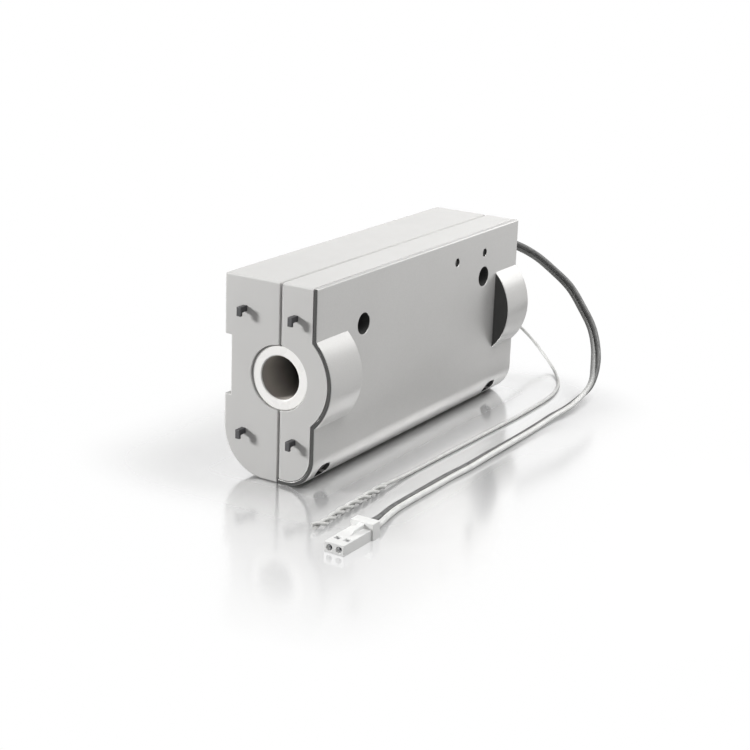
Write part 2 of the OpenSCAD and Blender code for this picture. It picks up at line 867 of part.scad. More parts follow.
module switch_plunger() color([0.85, 0.85, 0.82])
    pin_y(button_x, button_back_y, board_front_y - 2 - button_travel - 0.3, small_hole_z, 2.1);

module program_button() color([0.08, 0.08, 0.09]) {
    union() {
        pin_y(button_x, front_y + 0.5, button_back_y, small_hole_z, small_hole_d - 0.3);
        pin_y(button_x, front_y + chassis_in + shell_t + 0.1, button_back_y, small_hole_z, 3.4);
    }
}

module indicator_led() color([0.85, 0.3, 0.25])
    on_front(led_x, small_hole_z, 1.6, 1.2, 0.8);

// The pipe is a push fit in the shell and stops short of the cover's face
module light_pipe() color([0.35, 0.34, 0.33])
    pin_y(led_x, front_y + 0.5, board_front_y - 0.9, small_hole_z, small_hole_d - 0.2);

module power_header() color([0.93, 0.92, 0.88])
    on_rear(42.5, 41.5, 5, 6, 4.2);

function unit(v) = v / norm(v);
function along(p, i) = unit(p[min(i + 1, len(p) - 1)] - p[max(i - 1, 0)]);
function across(p, w, i) = unit(w[i] - (w[i] * along(p, i)) * along(p, i));
function ring(p, w, i, section) =
    let (t = along(p, i), a = across(p, w, i), b = cross(t, a))
    [for (s = section) p[i] + s[0] * a + s[1] * b];

// A tube along a route: w holds one direction across it for each point of p
module swept(p, w, section) {
    n = len(section);
    last = (len(p) - 1) * n;
    points = [for (i = [0 : len(p) - 1]) each ring(p, w, i, section)];
    sides = [for (i = [0 : len(p) - 2], j = [0 : n - 1])
        let (k = (j + 1) % n)
        each [[i * n + j, (i + 1) * n + j, (i + 1) * n + k], [i * n + j, (i + 1) * n + k, i * n + k]]];
    caps = [for (j = [1 : n - 2]) each [[0, j, j + 1], [last, last + j + 1, last + j]]];
    polyhedron(points = points, faces = concat(sides, caps));
}

function round_section(d) = [for (k = [0 : 7]) polar(d / 2, k * 45 + 22.5)];
function flat_section(w, t) = [[w / 2, 0], [w / 4, t / 2], [0, t * 0.32], [-w / 4, t / 2],
    [-w / 2, 0], [-w / 4, -t / 2], [0, -t * 0.32], [w / 4, -t / 2]];
function upright(p) = [for (q = p) [0, 0, 1]];

module round_lead(p, d) {
    swept(p, upright(p), round_section(d));
}

// From the rear of the board, behind the drive tube, down to the motor's terminals
module motor_leads() color([0.75, 0.15, 0.12]) {
    section = round_section(1);
    for (p = [
        [[7, board_rear_y, 36], [7, 1.2, 36], [7.6, 5, 35.6], [9, 8, 33], [10.4, 9.4, 28], [11.4, 9.2, 21],
            [11.6, 7.6, 16], [11.2, motor_y + 5, 14], [11.2, motor_y + 5, motor_z + 1]],
        [[4, board_rear_y, 36], [4, 1.2, 36], [4.6, 5, 35.8], [6, 8.8, 33], [7.6, 10, 27], [9.4, 9.8, 20.5],
            [12.6, 5, 16.4], [13.4, 0, 15.4], [11.8, motor_y - 4.4, 14.6], [11.2, motor_y - 5, 13.6],
            [11.2, motor_y - 5, motor_z + 1]]])
        swept(p, [for (q = p) [1, 0, 0]], section);
}

module power_lead_inner() color([0.3, 0.3, 0.31])
    swept([[far_x - end_t - 0.8, power_exit_y, power_exit_z], [46.8, power_exit_y, power_exit_z],
        [45.7, 2.2, power_exit_z], [45, 2.2, power_exit_z]],
        [for (i = [0 : 3]) [0, 0, 1]], flat_section(cable_w, cable_t));

module aerial_lead_inner() color([0.8, 0.8, 0.78]) {
    p = [[far_x - end_t - 0.8, aerial_exit_y, aerial_exit_z],
        [46.8, 9.6, 21], [45.6, 9.7, 22.4], [45, 9.8, 25], [44.4, 9.8, 29], [43, 9.2, 32.4],
        [40, 6.4, 35.2], [36.4, 2, 36.4], [35.4, 0.6, 36.4], [35.4, board_rear_y, 36.4]];
    swept(p, [for (q = p) [0, -0.4, 1]], round_section(wire_d));
}

module power_grommet() color([0.15, 0.15, 0.16]) {
    half = power_slot / 2;
    translate([0, power_exit_y, power_exit_z])
        union() {
            block([far_x - end_t, -half[0], -half[1]], [far_x, half[0], half[1]]);
            block([far_x - end_t - 0.8, -half[0] - 0.6, -half[1] - 0.6],
                [far_x - end_t, half[0] + 0.6, half[1] + 0.6]);
            block([far_x, -half[0] - 0.7, -half[1] - 0.7], [far_x + 1, half[0] + 0.7, half[1] + 0.7]);
            block([far_x + 1, -half[0] + 0.5, -half[1] + 0.5], [far_x + 4, half[0] - 0.5, half[1] - 0.5]);
            for (x = [1.6, 2.8])
                block([far_x + x, -half[0] + 0.1, -half[1] + 0.1],
                    [far_x + x + 0.6, half[0] - 0.1, half[1] - 0.1]);
        }
}

module aerial_grommet() color([0.15, 0.15, 0.16]) {
    union() {
        rod(far_x - end_t, far_x, aerial_hole_d, aerial_exit_y, aerial_exit_z);
        rod(far_x - end_t - 0.8, far_x - end_t, aerial_hole_d + 0.8, aerial_exit_y, aerial_exit_z);
        rod(far_x, far_x + 0.8, aerial_hole_d + 1.2, aerial_exit_y, aerial_exit_z);
        rod(far_x + 0.8, far_x + 2, aerial_hole_d - 1, aerial_exit_y, aerial_exit_z);
    }
}

module power_cable() color([0.5, 0.5, 0.5])
    swept(power_route, power_side, flat_section(cable_w, cable_t));

contact_ys = [connector_y - connector_pitch / 2, connector_y + connector_pitch / 2];
connector_front_x = connector_back_x - connector_l;
cavity_d = 1.5;
cavity_z = 1.3;

module power_connector() color([0.95, 0.95, 0.93]) {
    flange_x = connector_back_x - 3;
    difference() {
        union() {
            block([connector_front_x, connector_y - connector_w / 2, 0],
                [flange_x, connector_y + connector_w / 2, connector_h]);
            block([flange_x, connector_y - connector_w / 2 - 0.4, 0],
                [connector_back_x, connector_y + connector_w / 2 + 0.4, 4]);
            // Latch ridge that climbs to the flange
            translate([0, connector_y + 0.7, 0])
                rotate([90, 0, 0])
                    linear_extrude(height = 1.4)
                        polygon([[flange_x, 2.4], [flange_x, 3.6], [-70.5, 3.4], [-72.4, 2.6],
                            [-72.4, 2.4]]);
        }
        for (y = contact_ys) {
            rod(connector_front_x - 1, connector_front_x + 7, cavity_d, y, cavity_z);
            block([-75.2, y - 0.7, cavity_z], [-73.7, y + 0.7, 5]);
        }
    }
}

module connector_contacts() color([0.8, 0.72, 0.5]) {
    for (y = contact_ys)
        difference() {
            rod(connector_front_x + 1, connector_front_x + 7, cavity_d, y, cavity_z);
            rod(connector_front_x, connector_front_x + 6, cavity_d - 0.5, y, cavity_z);
        }
}

module aerial_wire() color([0.82, 0.82, 0.8])
    round_lead(aerial_route, wire_d);

module aerial_twist() color([0.82, 0.82, 0.8])
    round_lead(twist_route, twist_d);

front_cover();
front_shell();
rear_shell();
end_hooks();
upper_screws();
lower_screws();
drive_tube();
near_bush();
far_bush();
output_gear();
magnet_ring();
motor_can();
motor_end_cap();
motor_magnets();
motor_bearings();
motor_brushes();
motor_dampers();
motor_shaft();
armature_core();
armature_coils();
commutator();
stage_one_sun();
gearhead_housing();
stage_one_carrier();
stage_two_sun();
stage_two_carrier();
gearhead_shaft();
drive_pinion();
stage_one_planet_a();
stage_one_planet_b();
stage_one_planet_c();
stage_two_planet_a();
stage_two_planet_b();
stage_two_planet_c();
circuit_board();
control_chip();
driver_chip();
radio_module();
board_capacitors();
hall_sensor();
switch_body();
switch_plunger();
program_button();
indicator_led();
light_pipe();
power_header();
motor_leads();
power_lead_inner();
aerial_lead_inner();
power_grommet();
aerial_grommet();
power_cable();
power_connector();
connector_contacts();
aerial_wire();
aerial_twist();
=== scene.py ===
# %% [markdown]
# # A venetian blind motor on a pale studio floor
#
# The real object is a slim upright housing. A hollow drive tube runs through it from end to end, and
# a silver cover wraps its front. Two leads come out of the far end: a flat power lead with a white
# connector, and a thin aerial wire. The CAD model gives every part its place, so this script only
# dresses that model: it rounds edges, makes the finishes, and sets the light and the camera.

# %% Loading the frame
import json
import math

import bmesh
import bpy
import numpy as np
from mathutils import Matrix, Vector


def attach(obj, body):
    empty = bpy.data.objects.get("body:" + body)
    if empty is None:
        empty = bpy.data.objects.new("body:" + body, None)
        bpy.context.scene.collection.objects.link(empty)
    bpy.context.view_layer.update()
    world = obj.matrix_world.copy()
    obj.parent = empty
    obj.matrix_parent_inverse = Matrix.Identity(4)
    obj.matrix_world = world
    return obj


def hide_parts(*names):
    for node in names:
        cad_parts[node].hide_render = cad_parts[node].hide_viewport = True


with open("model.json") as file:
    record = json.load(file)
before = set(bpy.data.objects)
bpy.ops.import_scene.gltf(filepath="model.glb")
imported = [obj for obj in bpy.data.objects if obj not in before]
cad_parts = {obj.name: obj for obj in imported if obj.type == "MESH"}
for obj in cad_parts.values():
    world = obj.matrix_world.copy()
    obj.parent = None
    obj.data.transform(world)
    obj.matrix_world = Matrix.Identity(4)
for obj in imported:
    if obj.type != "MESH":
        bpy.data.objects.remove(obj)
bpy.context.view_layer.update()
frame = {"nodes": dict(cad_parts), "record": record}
nodes = frame["nodes"]
MM = 0.001

# %% [markdown]
# ## The camera
#
# A product photograph is taken from well back with a long lens, so the edges of the housing stay
# almost parallel. Four numbers say where such a camera stands: its turn round the object, its height
# as an angle, its distance, and a little roll. The two shifts slide it sideways and up without turning
# it. Keeping the numbers apart, instead of typing a matrix, makes each one easy to change.

# %% Camera
def put(name, data):
    """A new object, linked to the scene."""
    obj = bpy.data.objects.new(name, data)
    bpy.context.scene.collection.objects.link(obj)
    return obj


TURN, RISE, ROLL = math.radians(-58.63), math.radians(17.31), math.radians(2.09)
DISTANCE, ASIDE, UPWARD = 406.73 * MM, 14.0 * MM, 28.56 * MM

back = Vector((math.sin(TURN) * math.cos(RISE), -math.cos(TURN) * math.cos(RISE), math.sin(RISE)))
level = Vector((math.cos(TURN), math.sin(TURN), 0.0))
upright = back.cross(level)
right = math.cos(ROLL) * level + math.sin(ROLL) * upright
above = -math.sin(ROLL) * level + math.cos(ROLL) * upright
eye = back * DISTANCE + level * ASIDE + upright * UPWARD - Vector((50.0, 10.75, 0.0)) * MM

camera = put("camera", bpy.data.cameras.new("camera"))
camera.data.lens = 81.94
camera.data.sensor_width = 36.0
camera.data.clip_start = 0.01
camera.matrix_world = Matrix.Translation(eye) @ Matrix((right, above, back)).transposed().to_4x4()
bpy.context.scene.camera = camera
print("camera at", [round(v / MM, 1) for v in eye], "mm")

# %% [markdown]
# ## Finishes: what a plain colour lacks
#
# A real moulding is never one flat colour. Light catches a fine grain, the gloss wanders a little, and
# handling leaves faint marks. Each finish below starts from a Principled shader and feeds it noise in
# Object coordinates, which are metres here, so a scale of 2000 gives marks about half a millimetre
# apart. A short helper adds one node and sets its sockets, so that each finish reads as a list of steps.

# %% A node at a time
def add(tree, kind, inputs=(), **settings):
    """One node; inputs are (socket, value or another node's output)."""
    node = tree.nodes.new(kind)
    for key, value in settings.items():
        setattr(node, key, value)
    for socket, value in inputs:
        if isinstance(value, bpy.types.NodeSocket):
            tree.links.new(value, node.inputs[socket])
        else:
            node.inputs[socket].default_value = value
    return node


def new_finish(name, inputs=()):
    finish = bpy.data.materials.new(name)
    finish.use_nodes = True
    tree = finish.node_tree
    tree.nodes.clear()
    shader = add(tree, "ShaderNodeBsdfPrincipled", inputs)
    add(tree, "ShaderNodeOutputMaterial", [("Surface", shader.outputs[0])])
    place = add(tree, "ShaderNodeTexCoord").outputs["Object"]
    return finish, tree, shader, place


def mapped(tree, value, from_low, from_high, to_low=0.0, to_high=1.0, smooth=False):
    """Turns one span of values into another, and holds at its ends."""
    spans = [("Value", value), ("From Min", from_low), ("From Max", from_high),
             ("To Min", to_low), ("To Max", to_high)]
    kind = "SMOOTHSTEP" if smooth else "LINEAR"
    return add(tree, "ShaderNodeMapRange", spans, interpolation_type=kind).outputs[0]


def mottle(tree, place, scale, detail=2.0):
    """Noise between 0 and 1, for colour, gloss or grain."""
    noise = add(tree, "ShaderNodeTexNoise", [("Vector", place), ("Scale", scale), ("Detail", detail)])
    return noise.outputs["Fac"]


NOISE_LOW, NOISE_HIGH = 0.3, 0.7  # nearly all of the noise lies between these


def between(tree, factor, low, high):
    """Turns noise into a number between two values."""
    return mapped(tree, factor, NOISE_LOW, NOISE_HIGH, low, high)


def two_tones(tree, factor, first, second, low=NOISE_LOW, high=NOISE_HIGH):
    ramp = add(tree, "ShaderNodeValToRGB", [("Fac", factor)])
    for element, position, colour in zip(ramp.color_ramp.elements, (low, high), (first, second)):
        element.position, element.color = position, (*colour, 1)
    return ramp.outputs[0]


def shade(colour, k):
    return tuple(min(1.0, c * k) for c in colour)


def coat(tree, shader, colour, rough):
    """Feeds the two sockets that every finish varies."""
    tree.links.new(colour, shader.inputs["Base Color"])
    tree.links.new(rough, shader.inputs["Roughness"])


def grain(tree, shader, height, deep, strength=0.4):
    """Bump of a given depth in metres."""
    bump = add(tree, "ShaderNodeBump", [("Strength", strength), ("Distance", deep), ("Height", height)])
    tree.links.new(bump.outputs[0], shader.inputs["Normal"])

# %% [markdown]
# ## Moulded plastic
#
# Most of this object is moulded plastic. The tool that shapes it is spark eroded, which leaves a fine
# matt grain of about a third of a millimetre. One maker serves all of the plastics: the colour, the
# gloss and the size of the grain change from one to the next, and a slow second noise shifts the
# colour slightly, as the flow of the melt does.

# %% Moulded plastic
def moulded(name, colour, rough, grain_scale=2600, grain_deep=1e-5, clear=0.0, spread=0.05, shine=0.5):
    finish, tree, shader, place = new_finish(name, [("Coat Weight", clear), ("Specular IOR Level", shine)])
    flow = mottle(tree, place, 60, 3)
    fine = mottle(tree, place, grain_scale)
    coat(tree, shader, two_tones(tree, flow, shade(colour, 1 - spread), shade(colour, 1 + spread)),
         between(tree, mottle(tree, place, 240), rough - 0.05, rough + 0.05))
    grain(tree, shader, fine, grain_deep)
    return finish


finish_of = {  # by material slot
    "shell_grey": moulded("grey_shell_plastic", (0.54, 0.535, 0.525), 0.5, 2400, 1.2e-5, spread=0.015,
                          shine=0.25),
    "bush_white": moulded("white_bush_acetal", (0.86, 0.85, 0.83), 0.3, 900, 5e-6, spread=0.02),
    "hook_dark": moulded("dark_hook_plastic", (0.045, 0.045, 0.048), 0.5, spread=0.15),
    "tube_grey": moulded("drive_tube_plastic", (0.46, 0.43, 0.40), 0.8, 1800, 1.5e-5, spread=0.12, shine=0.1),
    "black_plastic": moulded("black_moulding", (0.025, 0.025, 0.028), 0.5, 3000, spread=0.15),
    "button_black": moulded("black_button_plastic", (0.02, 0.02, 0.021), 0.42, 3000, 6e-6, spread=0.15),
    "gear_nylon": moulded("gear_nylon", (0.80, 0.78, 0.70), 0.38, 1400, 6e-6, spread=0.04),
    "plunger_cream": moulded("plunger_plastic", (0.70, 0.68, 0.60), 0.4, 1800, 6e-6),
    "header_white": moulded("header_nylon", (0.85, 0.83, 0.76), 0.42, 1600, 8e-6, spread=0.03),
    "connector_white": moulded("connector_nylon", (0.70, 0.70, 0.69), 0.34, 1400, 6e-6, spread=0.015),
    "rubber_black": moulded("grommet_rubber", (0.03, 0.03, 0.032), 0.72, 1200, 2.5e-5, spread=0.2),
    "capacitor_sleeve": moulded("capacitor_sleeve", (0.04, 0.055, 0.2), 0.25, 700, 6e-6, clear=0.4),
    "lead_red": moulded("red_lead_insulation", (0.55, 0.05, 0.04), 0.35, 900, 8e-6)}
print("plastics:", len(finish_of))

# %% [markdown]
# ## Silver paint on a dark cover
#
# The cover is moulded in a dark plastic and sprayed silver from the front. The gun never reaches the
# end edges, the walls of the holes or the steps that face along the housing, and those stay dark, which
# draws the thin dark line round the cover's near edge. So the cover carries two finishes. The silver
# is a satin metallic paint: tiny flakes scatter the light, which a very fine Voronoi pattern gives, and
# the lacquer over them has the slight waviness of any sprayed coat.

# %% Silver paint and bare edge
def sprayed_silver():
    finish, tree, shader, place = new_finish("silver_cover_paint", [("Metallic", 0.4)])
    flakes = add(tree, "ShaderNodeTexVoronoi", [("Vector", place), ("Scale", 5200)]).outputs["Color"]
    flake = add(tree, "ShaderNodeSeparateColor", [("Color", flakes)]).outputs[0]
    clouds = mottle(tree, place, 45, 3)
    tone = two_tones(tree, clouds, (0.488, 0.483, 0.473), (0.504, 0.499, 0.489))
    sparkle = two_tones(tree, flake, (0.94, 0.94, 0.94), (1.0, 1.0, 1.0), 0.0, 1.0)
    mixed = add(tree, "ShaderNodeMix", [(0, 1.0), (6, tone), (7, sparkle)], data_type="RGBA",
                blend_type="MULTIPLY").outputs[2]
    coat(tree, shader, mixed, between(tree, mottle(tree, place, 300), 0.28, 0.34))
    grain(tree, shader, mottle(tree, place, 1500, 3), 6e-6, 0.3)
    return finish


finish_of["cover_silver"] = sprayed_silver()
bare_edge = moulded("bare_cover_edge", (0.03, 0.03, 0.029), 0.6, 2400, spread=0.12)
print("the cover's finishes:", finish_of["cover_silver"].name, "and", bare_edge.name)

# %% [markdown]
# ## Painted shade inside the tube
#
# Deeper in the bore the tube lies in shade, and that shade is painted into its colour. The
# colour that the moulding already has is therefore multiplied by a ramp along X: one at both ends of
# the tube, almost nothing a centimetre and a half inside.

# %% Tube, with painted shade inwards
def maths(tree, operation, *values):
    """A Math node on one or two values."""
    return add(tree, "ShaderNodeMath", enumerate(values), operation=operation).outputs[0]


tube_tree = finish_of["tube_grey"].node_tree
tube_shader = tube_tree.nodes["Principled BSDF"]
tube_tone = tube_shader.inputs["Base Color"].links[0].from_socket
tube_place = tube_tree.nodes["Texture Coordinate"].outputs["Object"]
along_tube = add(tube_tree, "ShaderNodeSeparateXYZ", [(0, tube_place)]).outputs[0]
# The ramp of painted shade in the bore: darkest from the middle out to the first distance, gone at the
# second.
BLACK_UNTIL, PALE_FROM, INNER_TONE = 0.034, 0.047, 0.06  # metres from the middle; share of the colour
painted_bore_shade = mapped(tube_tree, maths(tube_tree, "ABSOLUTE", along_tube), BLACK_UNTIL, PALE_FROM, INNER_TONE)
toned = add(tube_tree, "ShaderNodeVectorMath", [(0, tube_tone), ("Scale", painted_bore_shade)], operation="SCALE")
tube_tree.links.new(toned.outputs[0], tube_shader.inputs["Base Color"])
print("the tube is darkest for", round(2 * BLACK_UNTIL / MM), "mm of its length")

# %% [markdown]
# ## Metals
#
# The motor and its gears are turned, stamped, plated and sintered. What tells one metal from another
# is its colour and the marks of how it was made: turned parts carry fine rings round their axis, which
# here is the X axis of the object, so a wave along X draws them. Plated sheet has no rings, only a soft
# unevenness.

# %% Metal finishes
def turned(name, colour, rough, rings=2400.0, deep=2e-6):
    finish, tree, shader, place = new_finish(name, [("Metallic", 1.0)])
    wave = add(tree, "ShaderNodeTexWave", bands_direction="X", inputs=[
        ("Vector", place), ("Scale", rings), ("Distortion", 1.5), ("Detail", 1.0)]).outputs["Fac"]
    coat(tree, shader, two_tones(tree, mottle(tree, place, 500, 3), shade(colour, 0.9), shade(colour, 1.05)),
         between(tree, mottle(tree, place, 900), rough - 0.06, rough + 0.06))
    grain(tree, shader, wave, deep, 0.35)
    return finish


def plated(name, colour, rough, scale=420.0):
    finish, tree, shader, place = new_finish(name, [("Metallic", 1.0)])
    uneven = mottle(tree, place, scale, 4)
    coat(tree, shader, two_tones(tree, uneven, shade(colour, 0.85), shade(colour, 1.05)),
         between(tree, mottle(tree, place, scale * 3), rough - 0.07, rough + 0.07))
    grain(tree, shader, uneven, 4e-6, 0.25)
    return finish


finish_of |= {
    "screw_black": turned("black_oxide_screw", (0.06, 0.06, 0.065), 0.38),
    "shaft_steel": turned("ground_shaft_steel", (0.62, 0.62, 0.64), 0.26),
    "gear_steel": turned("machined_gear_steel", (0.45, 0.46, 0.48), 0.36),
    "brass": turned("machined_brass", (0.75, 0.58, 0.28), 0.3),
    "lamination": turned("stacked_laminations", (0.35, 0.35, 0.37), 0.42, 2000.0, 1.2e-5),
    "sintered_bronze": plated("sintered_bronze", (0.55, 0.38, 0.18), 0.5, 2600.0),
    "plated_steel": plated("tin_plate", (0.70, 0.71, 0.73), 0.3),
    "magnet": plated("sintered_ferrite", (0.10, 0.10, 0.10), 0.55, 1800.0),
    "copper": turned("enamelled_copper", (0.72, 0.35, 0.16), 0.3, 1400.0, 2.5e-5)}
print("with the metals:", len(finish_of), "finishes")

# %% [markdown]
# ## Clear and smoked parts, and the board
#
# A light pipe carries the indicator's light to the cover, so it lets light through. The circuit board
# is green solder mask over copper, and the tracks below it show as a slightly lighter, raised pattern:
# a Voronoi of straight cells under the mask gives that without drawing a real circuit.

# %% Light pipe, indicator and board
def clear_part(name, colour, rough, through):
    finish, tree, shader, place = new_finish(name, [("Transmission Weight", through), ("IOR", 1.49)])
    coat(tree, shader, two_tones(tree, mottle(tree, place, 800), shade(colour, 0.9), shade(colour, 1.1)),
         between(tree, mottle(tree, place, 1500), rough, rough + 0.06))
    return finish


def solder_mask():
    finish, tree, shader, place = new_finish("green_solder_mask")
    cells = add(tree, "ShaderNodeTexVoronoi", [("Vector", place), ("Scale", 420)], distance="MANHATTAN")
    tracks = cells.outputs["Distance"]
    coat(tree, shader, two_tones(tree, tracks, (0.02, 0.16, 0.07), (0.035, 0.235, 0.105), 0.35, 0.42),
         between(tree, mottle(tree, place, 700), 0.28, 0.4))
    grain(tree, shader, tracks, 2e-5, 0.3)
    return finish


finish_of |= {
    "light_pipe_smoke": clear_part("smoked_light_pipe", (0.05, 0.048, 0.045), 0.2, 0.2),
    "led_lens": clear_part("red_indicator_lens", (0.75, 0.12, 0.10), 0.1, 0.4),
    "board_green": solder_mask()}
print("with the board and the clear parts:", len(finish_of), "finishes")

# %% [markdown]
# ## Insulation that follows its cord
#
# The leads bend, so a pattern in Object coordinates would swim across them. Each lead therefore
# carries a UV map: one direction runs round it and the other along it, in metres. Extruded insulation
# has faint draw lines along its length and a slow change of tone. The light core's first seven
# centimetres, which arch through shade, get a darker tone of painted shade.

# %% Insulation
# Metres from the housing over which the painted shade on the light core's first stretch fades out
ARC_SHADE_FADES = (0.062, 0.078)  # metres from the housing


def insulation(name, first, second, rough, arc_shade=None):
    """The tone given for the first seven centimetres is painted shade, where the lead arches through shade.
    """
    finish, tree, shader, _ = new_finish(name)
    along = add(tree, "ShaderNodeUVMap", uv_map="lay").outputs[0]

    def noise(across, length, detail):
        scaled = add(tree, "ShaderNodeMapping", [("Vector", along), ("Scale", (across, length, 1.0))])
        return mottle(tree, scaled.outputs[0], 1.0, detail)

    lines = noise(900.0, 60.0, 2)
    tone = two_tones(tree, noise(500.0, 420.0, 3), first, second, 0.35, 0.65)
    # The first stretch gets the darker tone of painted shade, faded out between the two distances.
    if arc_shade:
        run = add(tree, "ShaderNodeSeparateXYZ", [(0, along)]).outputs[1]
        past_arc_shade = mapped(tree, run, *ARC_SHADE_FADES, smooth=True)
        tones = [(0, past_arc_shade), (6, (*arc_shade, 1)), (7, tone)]
        tone = add(tree, "ShaderNodeMix", tones, data_type="RGBA").outputs[2]
    coat(tree, shader, tone, between(tree, lines, rough - 0.05, rough + 0.06))
    grain(tree, shader, lines, 1.5e-5, 0.3)
    return finish


dark_core_pvc = insulation("dark_core_insulation", (0.07, 0.07, 0.069), (0.13, 0.13, 0.127), 0.55)
# The light core's grey first stretch is painted shade; the core is the same pale colour all along.
light_core_pvc = insulation("light_core_insulation", (0.60, 0.60, 0.585), (0.68, 0.68, 0.665), 0.36,
                            arc_shade=(0.24, 0.24, 0.235))
aerial_pvc = insulation("aerial_insulation", (0.48, 0.48, 0.465), (0.56, 0.56, 0.545), 0.34)
finish_of["cable_grey"] = moulded("inner_lead_insulation", (0.30, 0.30, 0.30), 0.4, 900, 8e-6)
finish_of["wire_white"] = moulded("inner_aerial_insulation", (0.80, 0.80, 0.78), 0.36, 900, 8e-6, spread=0.03)
print("insulations:", dark_core_pvc.name, light_core_pvc.name, aerial_pvc.name)

# %% [markdown]
# ## A smooth line through given points
#
# A lead is laid by choosing a few points that it passes, and a curve does the rest. The centripetal
# kind of Catmull-Rom curve goes through every point and never overshoots or loops, even where one
# gap is much longer than the next, and that is why it is used here instead of a plain spline.

# %% Smooth lines
def between_points(t, ta, a, tb, b):
    """The point at t on the straight run from a at ta to b at tb."""
    return (tb - t) / (tb - ta) * a + (t - ta) / (tb - ta) * b


def smooth_line(points, pieces):
    p = [np.array(q, float) for q in points]
    p = [2 * p[0] - p[1]] + p + [2 * p[-1] - p[-2]]
    line = []
    for a, b, c, d in zip(p, p[1:], p[2:], p[3:]):
        gaps = [np.linalg.norm(w - v) ** 0.5 for v, w in ((a, b), (b, c), (c, d))]
        t0, t1, t2, t3 = np.cumsum([0.0] + gaps)
        for k in range(pieces):
            t = t1 + (t2 - t1) * k / pieces
            ab = between_points(t, t0, a, t1, b)
            bc = between_points(t, t1, b, t2, c)
            cd = between_points(t, t2, c, t3, d)
            abc = between_points(t, t0, ab, t2, bc)
            bcd = between_points(t, t1, bc, t3, cd)
            line.append(between_points(t, t1, abc, t2, bcd))
    line.append(p[-2])
    return np.array(line)


def run_along(line):
    """The distance from the start of the line to each of its points."""
    return np.concatenate([[0], np.cumsum(np.linalg.norm(np.diff(line, axis=0), axis=1))])


def line_length(line):
    return float(run_along(line)[-1])


def directions(line):
    """Unit vector along the line at each of its points."""
    ahead = np.gradient(line, axis=0)
    return ahead / np.linalg.norm(ahead, axis=1)[:, None]


def square_to(line, side):
    """The side vectors, or one for the whole line, made unit and square to it."""
    t = directions(line)
    side = side - (side * t).sum(1)[:, None] * t
    return side / np.linalg.norm(side, axis=1)[:, None]

# %% [markdown]
# ## A tube along a line
#
# Every lead is one or more round tubes. This helper lays rings of points round a line, joins each ring
# to the next, closes the ends, and writes the UV map that the insulation reads. It adds to a mesh that
# is being built, so a lead of two cores and the web between them can be a single piece.

# %% Tubes
def add_tube(bm, line, side, radius, finish, sides=14, flat=1.0):
    """radius in mm; flat below 1 squeezes the tube across the side direction, as a web is."""
    uv = bm.loops.layers.uv.get("lay") or bm.loops.layers.uv.new("lay")
    t = directions(line)
    side = square_to(line, side)
    other = np.cross(t, side)
    radius = np.broadcast_to(np.array(radius, float), (len(line),))
    rings = []
    for i, p in enumerate(line):
        turn = [2 * math.pi * k / sides for k in range(sides)]
        ring = [p + radius[i] * (math.cos(a) * side[i] + flat * math.sin(a) * other[i]) for a in turn]
        rings.append([bm.verts.new(Vector(q) * MM) for q in ring])
    run = run_along(line) * MM
    around = 2 * math.pi * float(radius.mean()) * MM
    for i in range(len(line) - 1):
        for k in range(sides):
            n = (k + 1) % sides
            face = bm.faces.new((rings[i][k], rings[i][n], rings[i + 1][n], rings[i + 1][k]))
            face.material_index = finish
            face.smooth = True
            for loop, (u, v) in zip(face.loops, ((k, i), (k + 1, i), (k + 1, i + 1), (k, i + 1))):
                loop[uv].uv = (u / sides * around, run[v])
    for ring in (rings[0][::-1], rings[-1]):
        cap = bm.faces.new(ring)
        cap.material_index = finish


def finished(bm, name, finishes=()):
    """The mesh being built becomes an object at the origin."""
    mesh = bpy.data.meshes.new(name)
    bm.to_mesh(mesh)
    bm.free()
    for finish in finishes:
        mesh.materials.append(finish)
    return put(name, mesh)

# %% [markdown]
# ## The flat power lead
#
# The power lead is a twin flat cable: a dark core and a light core, joined by a thin web. It leaves
# the far end, swings out, falls to the floor with half a twist, and runs back along the front to its
# connector, where the two cores part to reach the two contacts. It is made as two round tubes and a
# flat web on one line, and a second line, the side, says where the dark core lies at each point. That
# way the twist is in the numbers and the cores stay round.

# %% Where the power lead runs
power_points = [
    (54, 2.5, 40.5), (56, 2.5, 40.5), (61, 1.4, 40), (66.5, -2, 38.5), (70, -7, 35.5), (71.5, -12.5, 31.5),
    (71.5, -18, 27.5), (70, -23, 22.5), (67.5, -27.5, 18), (63.5, -31, 13.5), (58.5, -33.5, 9.5),
    (53, -35, 6), (46.5, -35, 4), (40, -34.5, 2.6), (33, -33.5, 1.8), (26, -33, 1.1), (17, -33, 0.9),
    (7, -33, 0.9), (-3, -33, 0.9), (-13, -33, 0.8), (-23, -32.5, 0.7), (-33, -32.5, 0.7),
    (-42, -32.5, 0.7), (-49, -32.8, 0.8), (-54.5, -33.8, 1.1), (-58.5, -34.8, 1.6), (-61.5, -35.2, 1.9),
    (-63.5, -35.2, 1.9)]
dark_side = [
    (0, 0, 1), (0, 0, 1), (0, -0.1, 1), (-0.2, -0.5, 0.9), (-0.2, -0.6, 0.8), (-0.2, -0.7, 0.8),
    (-0.1, -0.8, 0.7), (-0.1, -0.9, 0.6), (-0.1, -0.9, 0.5), (-0.1, -1, 0.2), (0.2, -0.6, -0.4),
    (0.4, 0.1, -0.8), (0.2, 0.7, -0.6), (0.1, 0.9, -0.4), (0.1, 1, -0.3), *[(0, 1, -0.3)] * 3,
    (0, 1, -0.2), (0, 1, -0.1), *[(0, 1, 0)] * 8]
power_line = smooth_line(power_points, 6)
stations = np.linspace(0, len(dark_side) - 1, len(power_line))
turned_side = [np.interp(stations, range(len(dark_side)), [s[k] for s in dark_side]) for k in range(3)]
power_side = square_to(power_line, np.stack(turned_side, axis=1))
POWER_LENGTH = line_length(power_line)
print("power lead:", len(power_line), "points,", round(POWER_LENGTH, 1), "mm long")

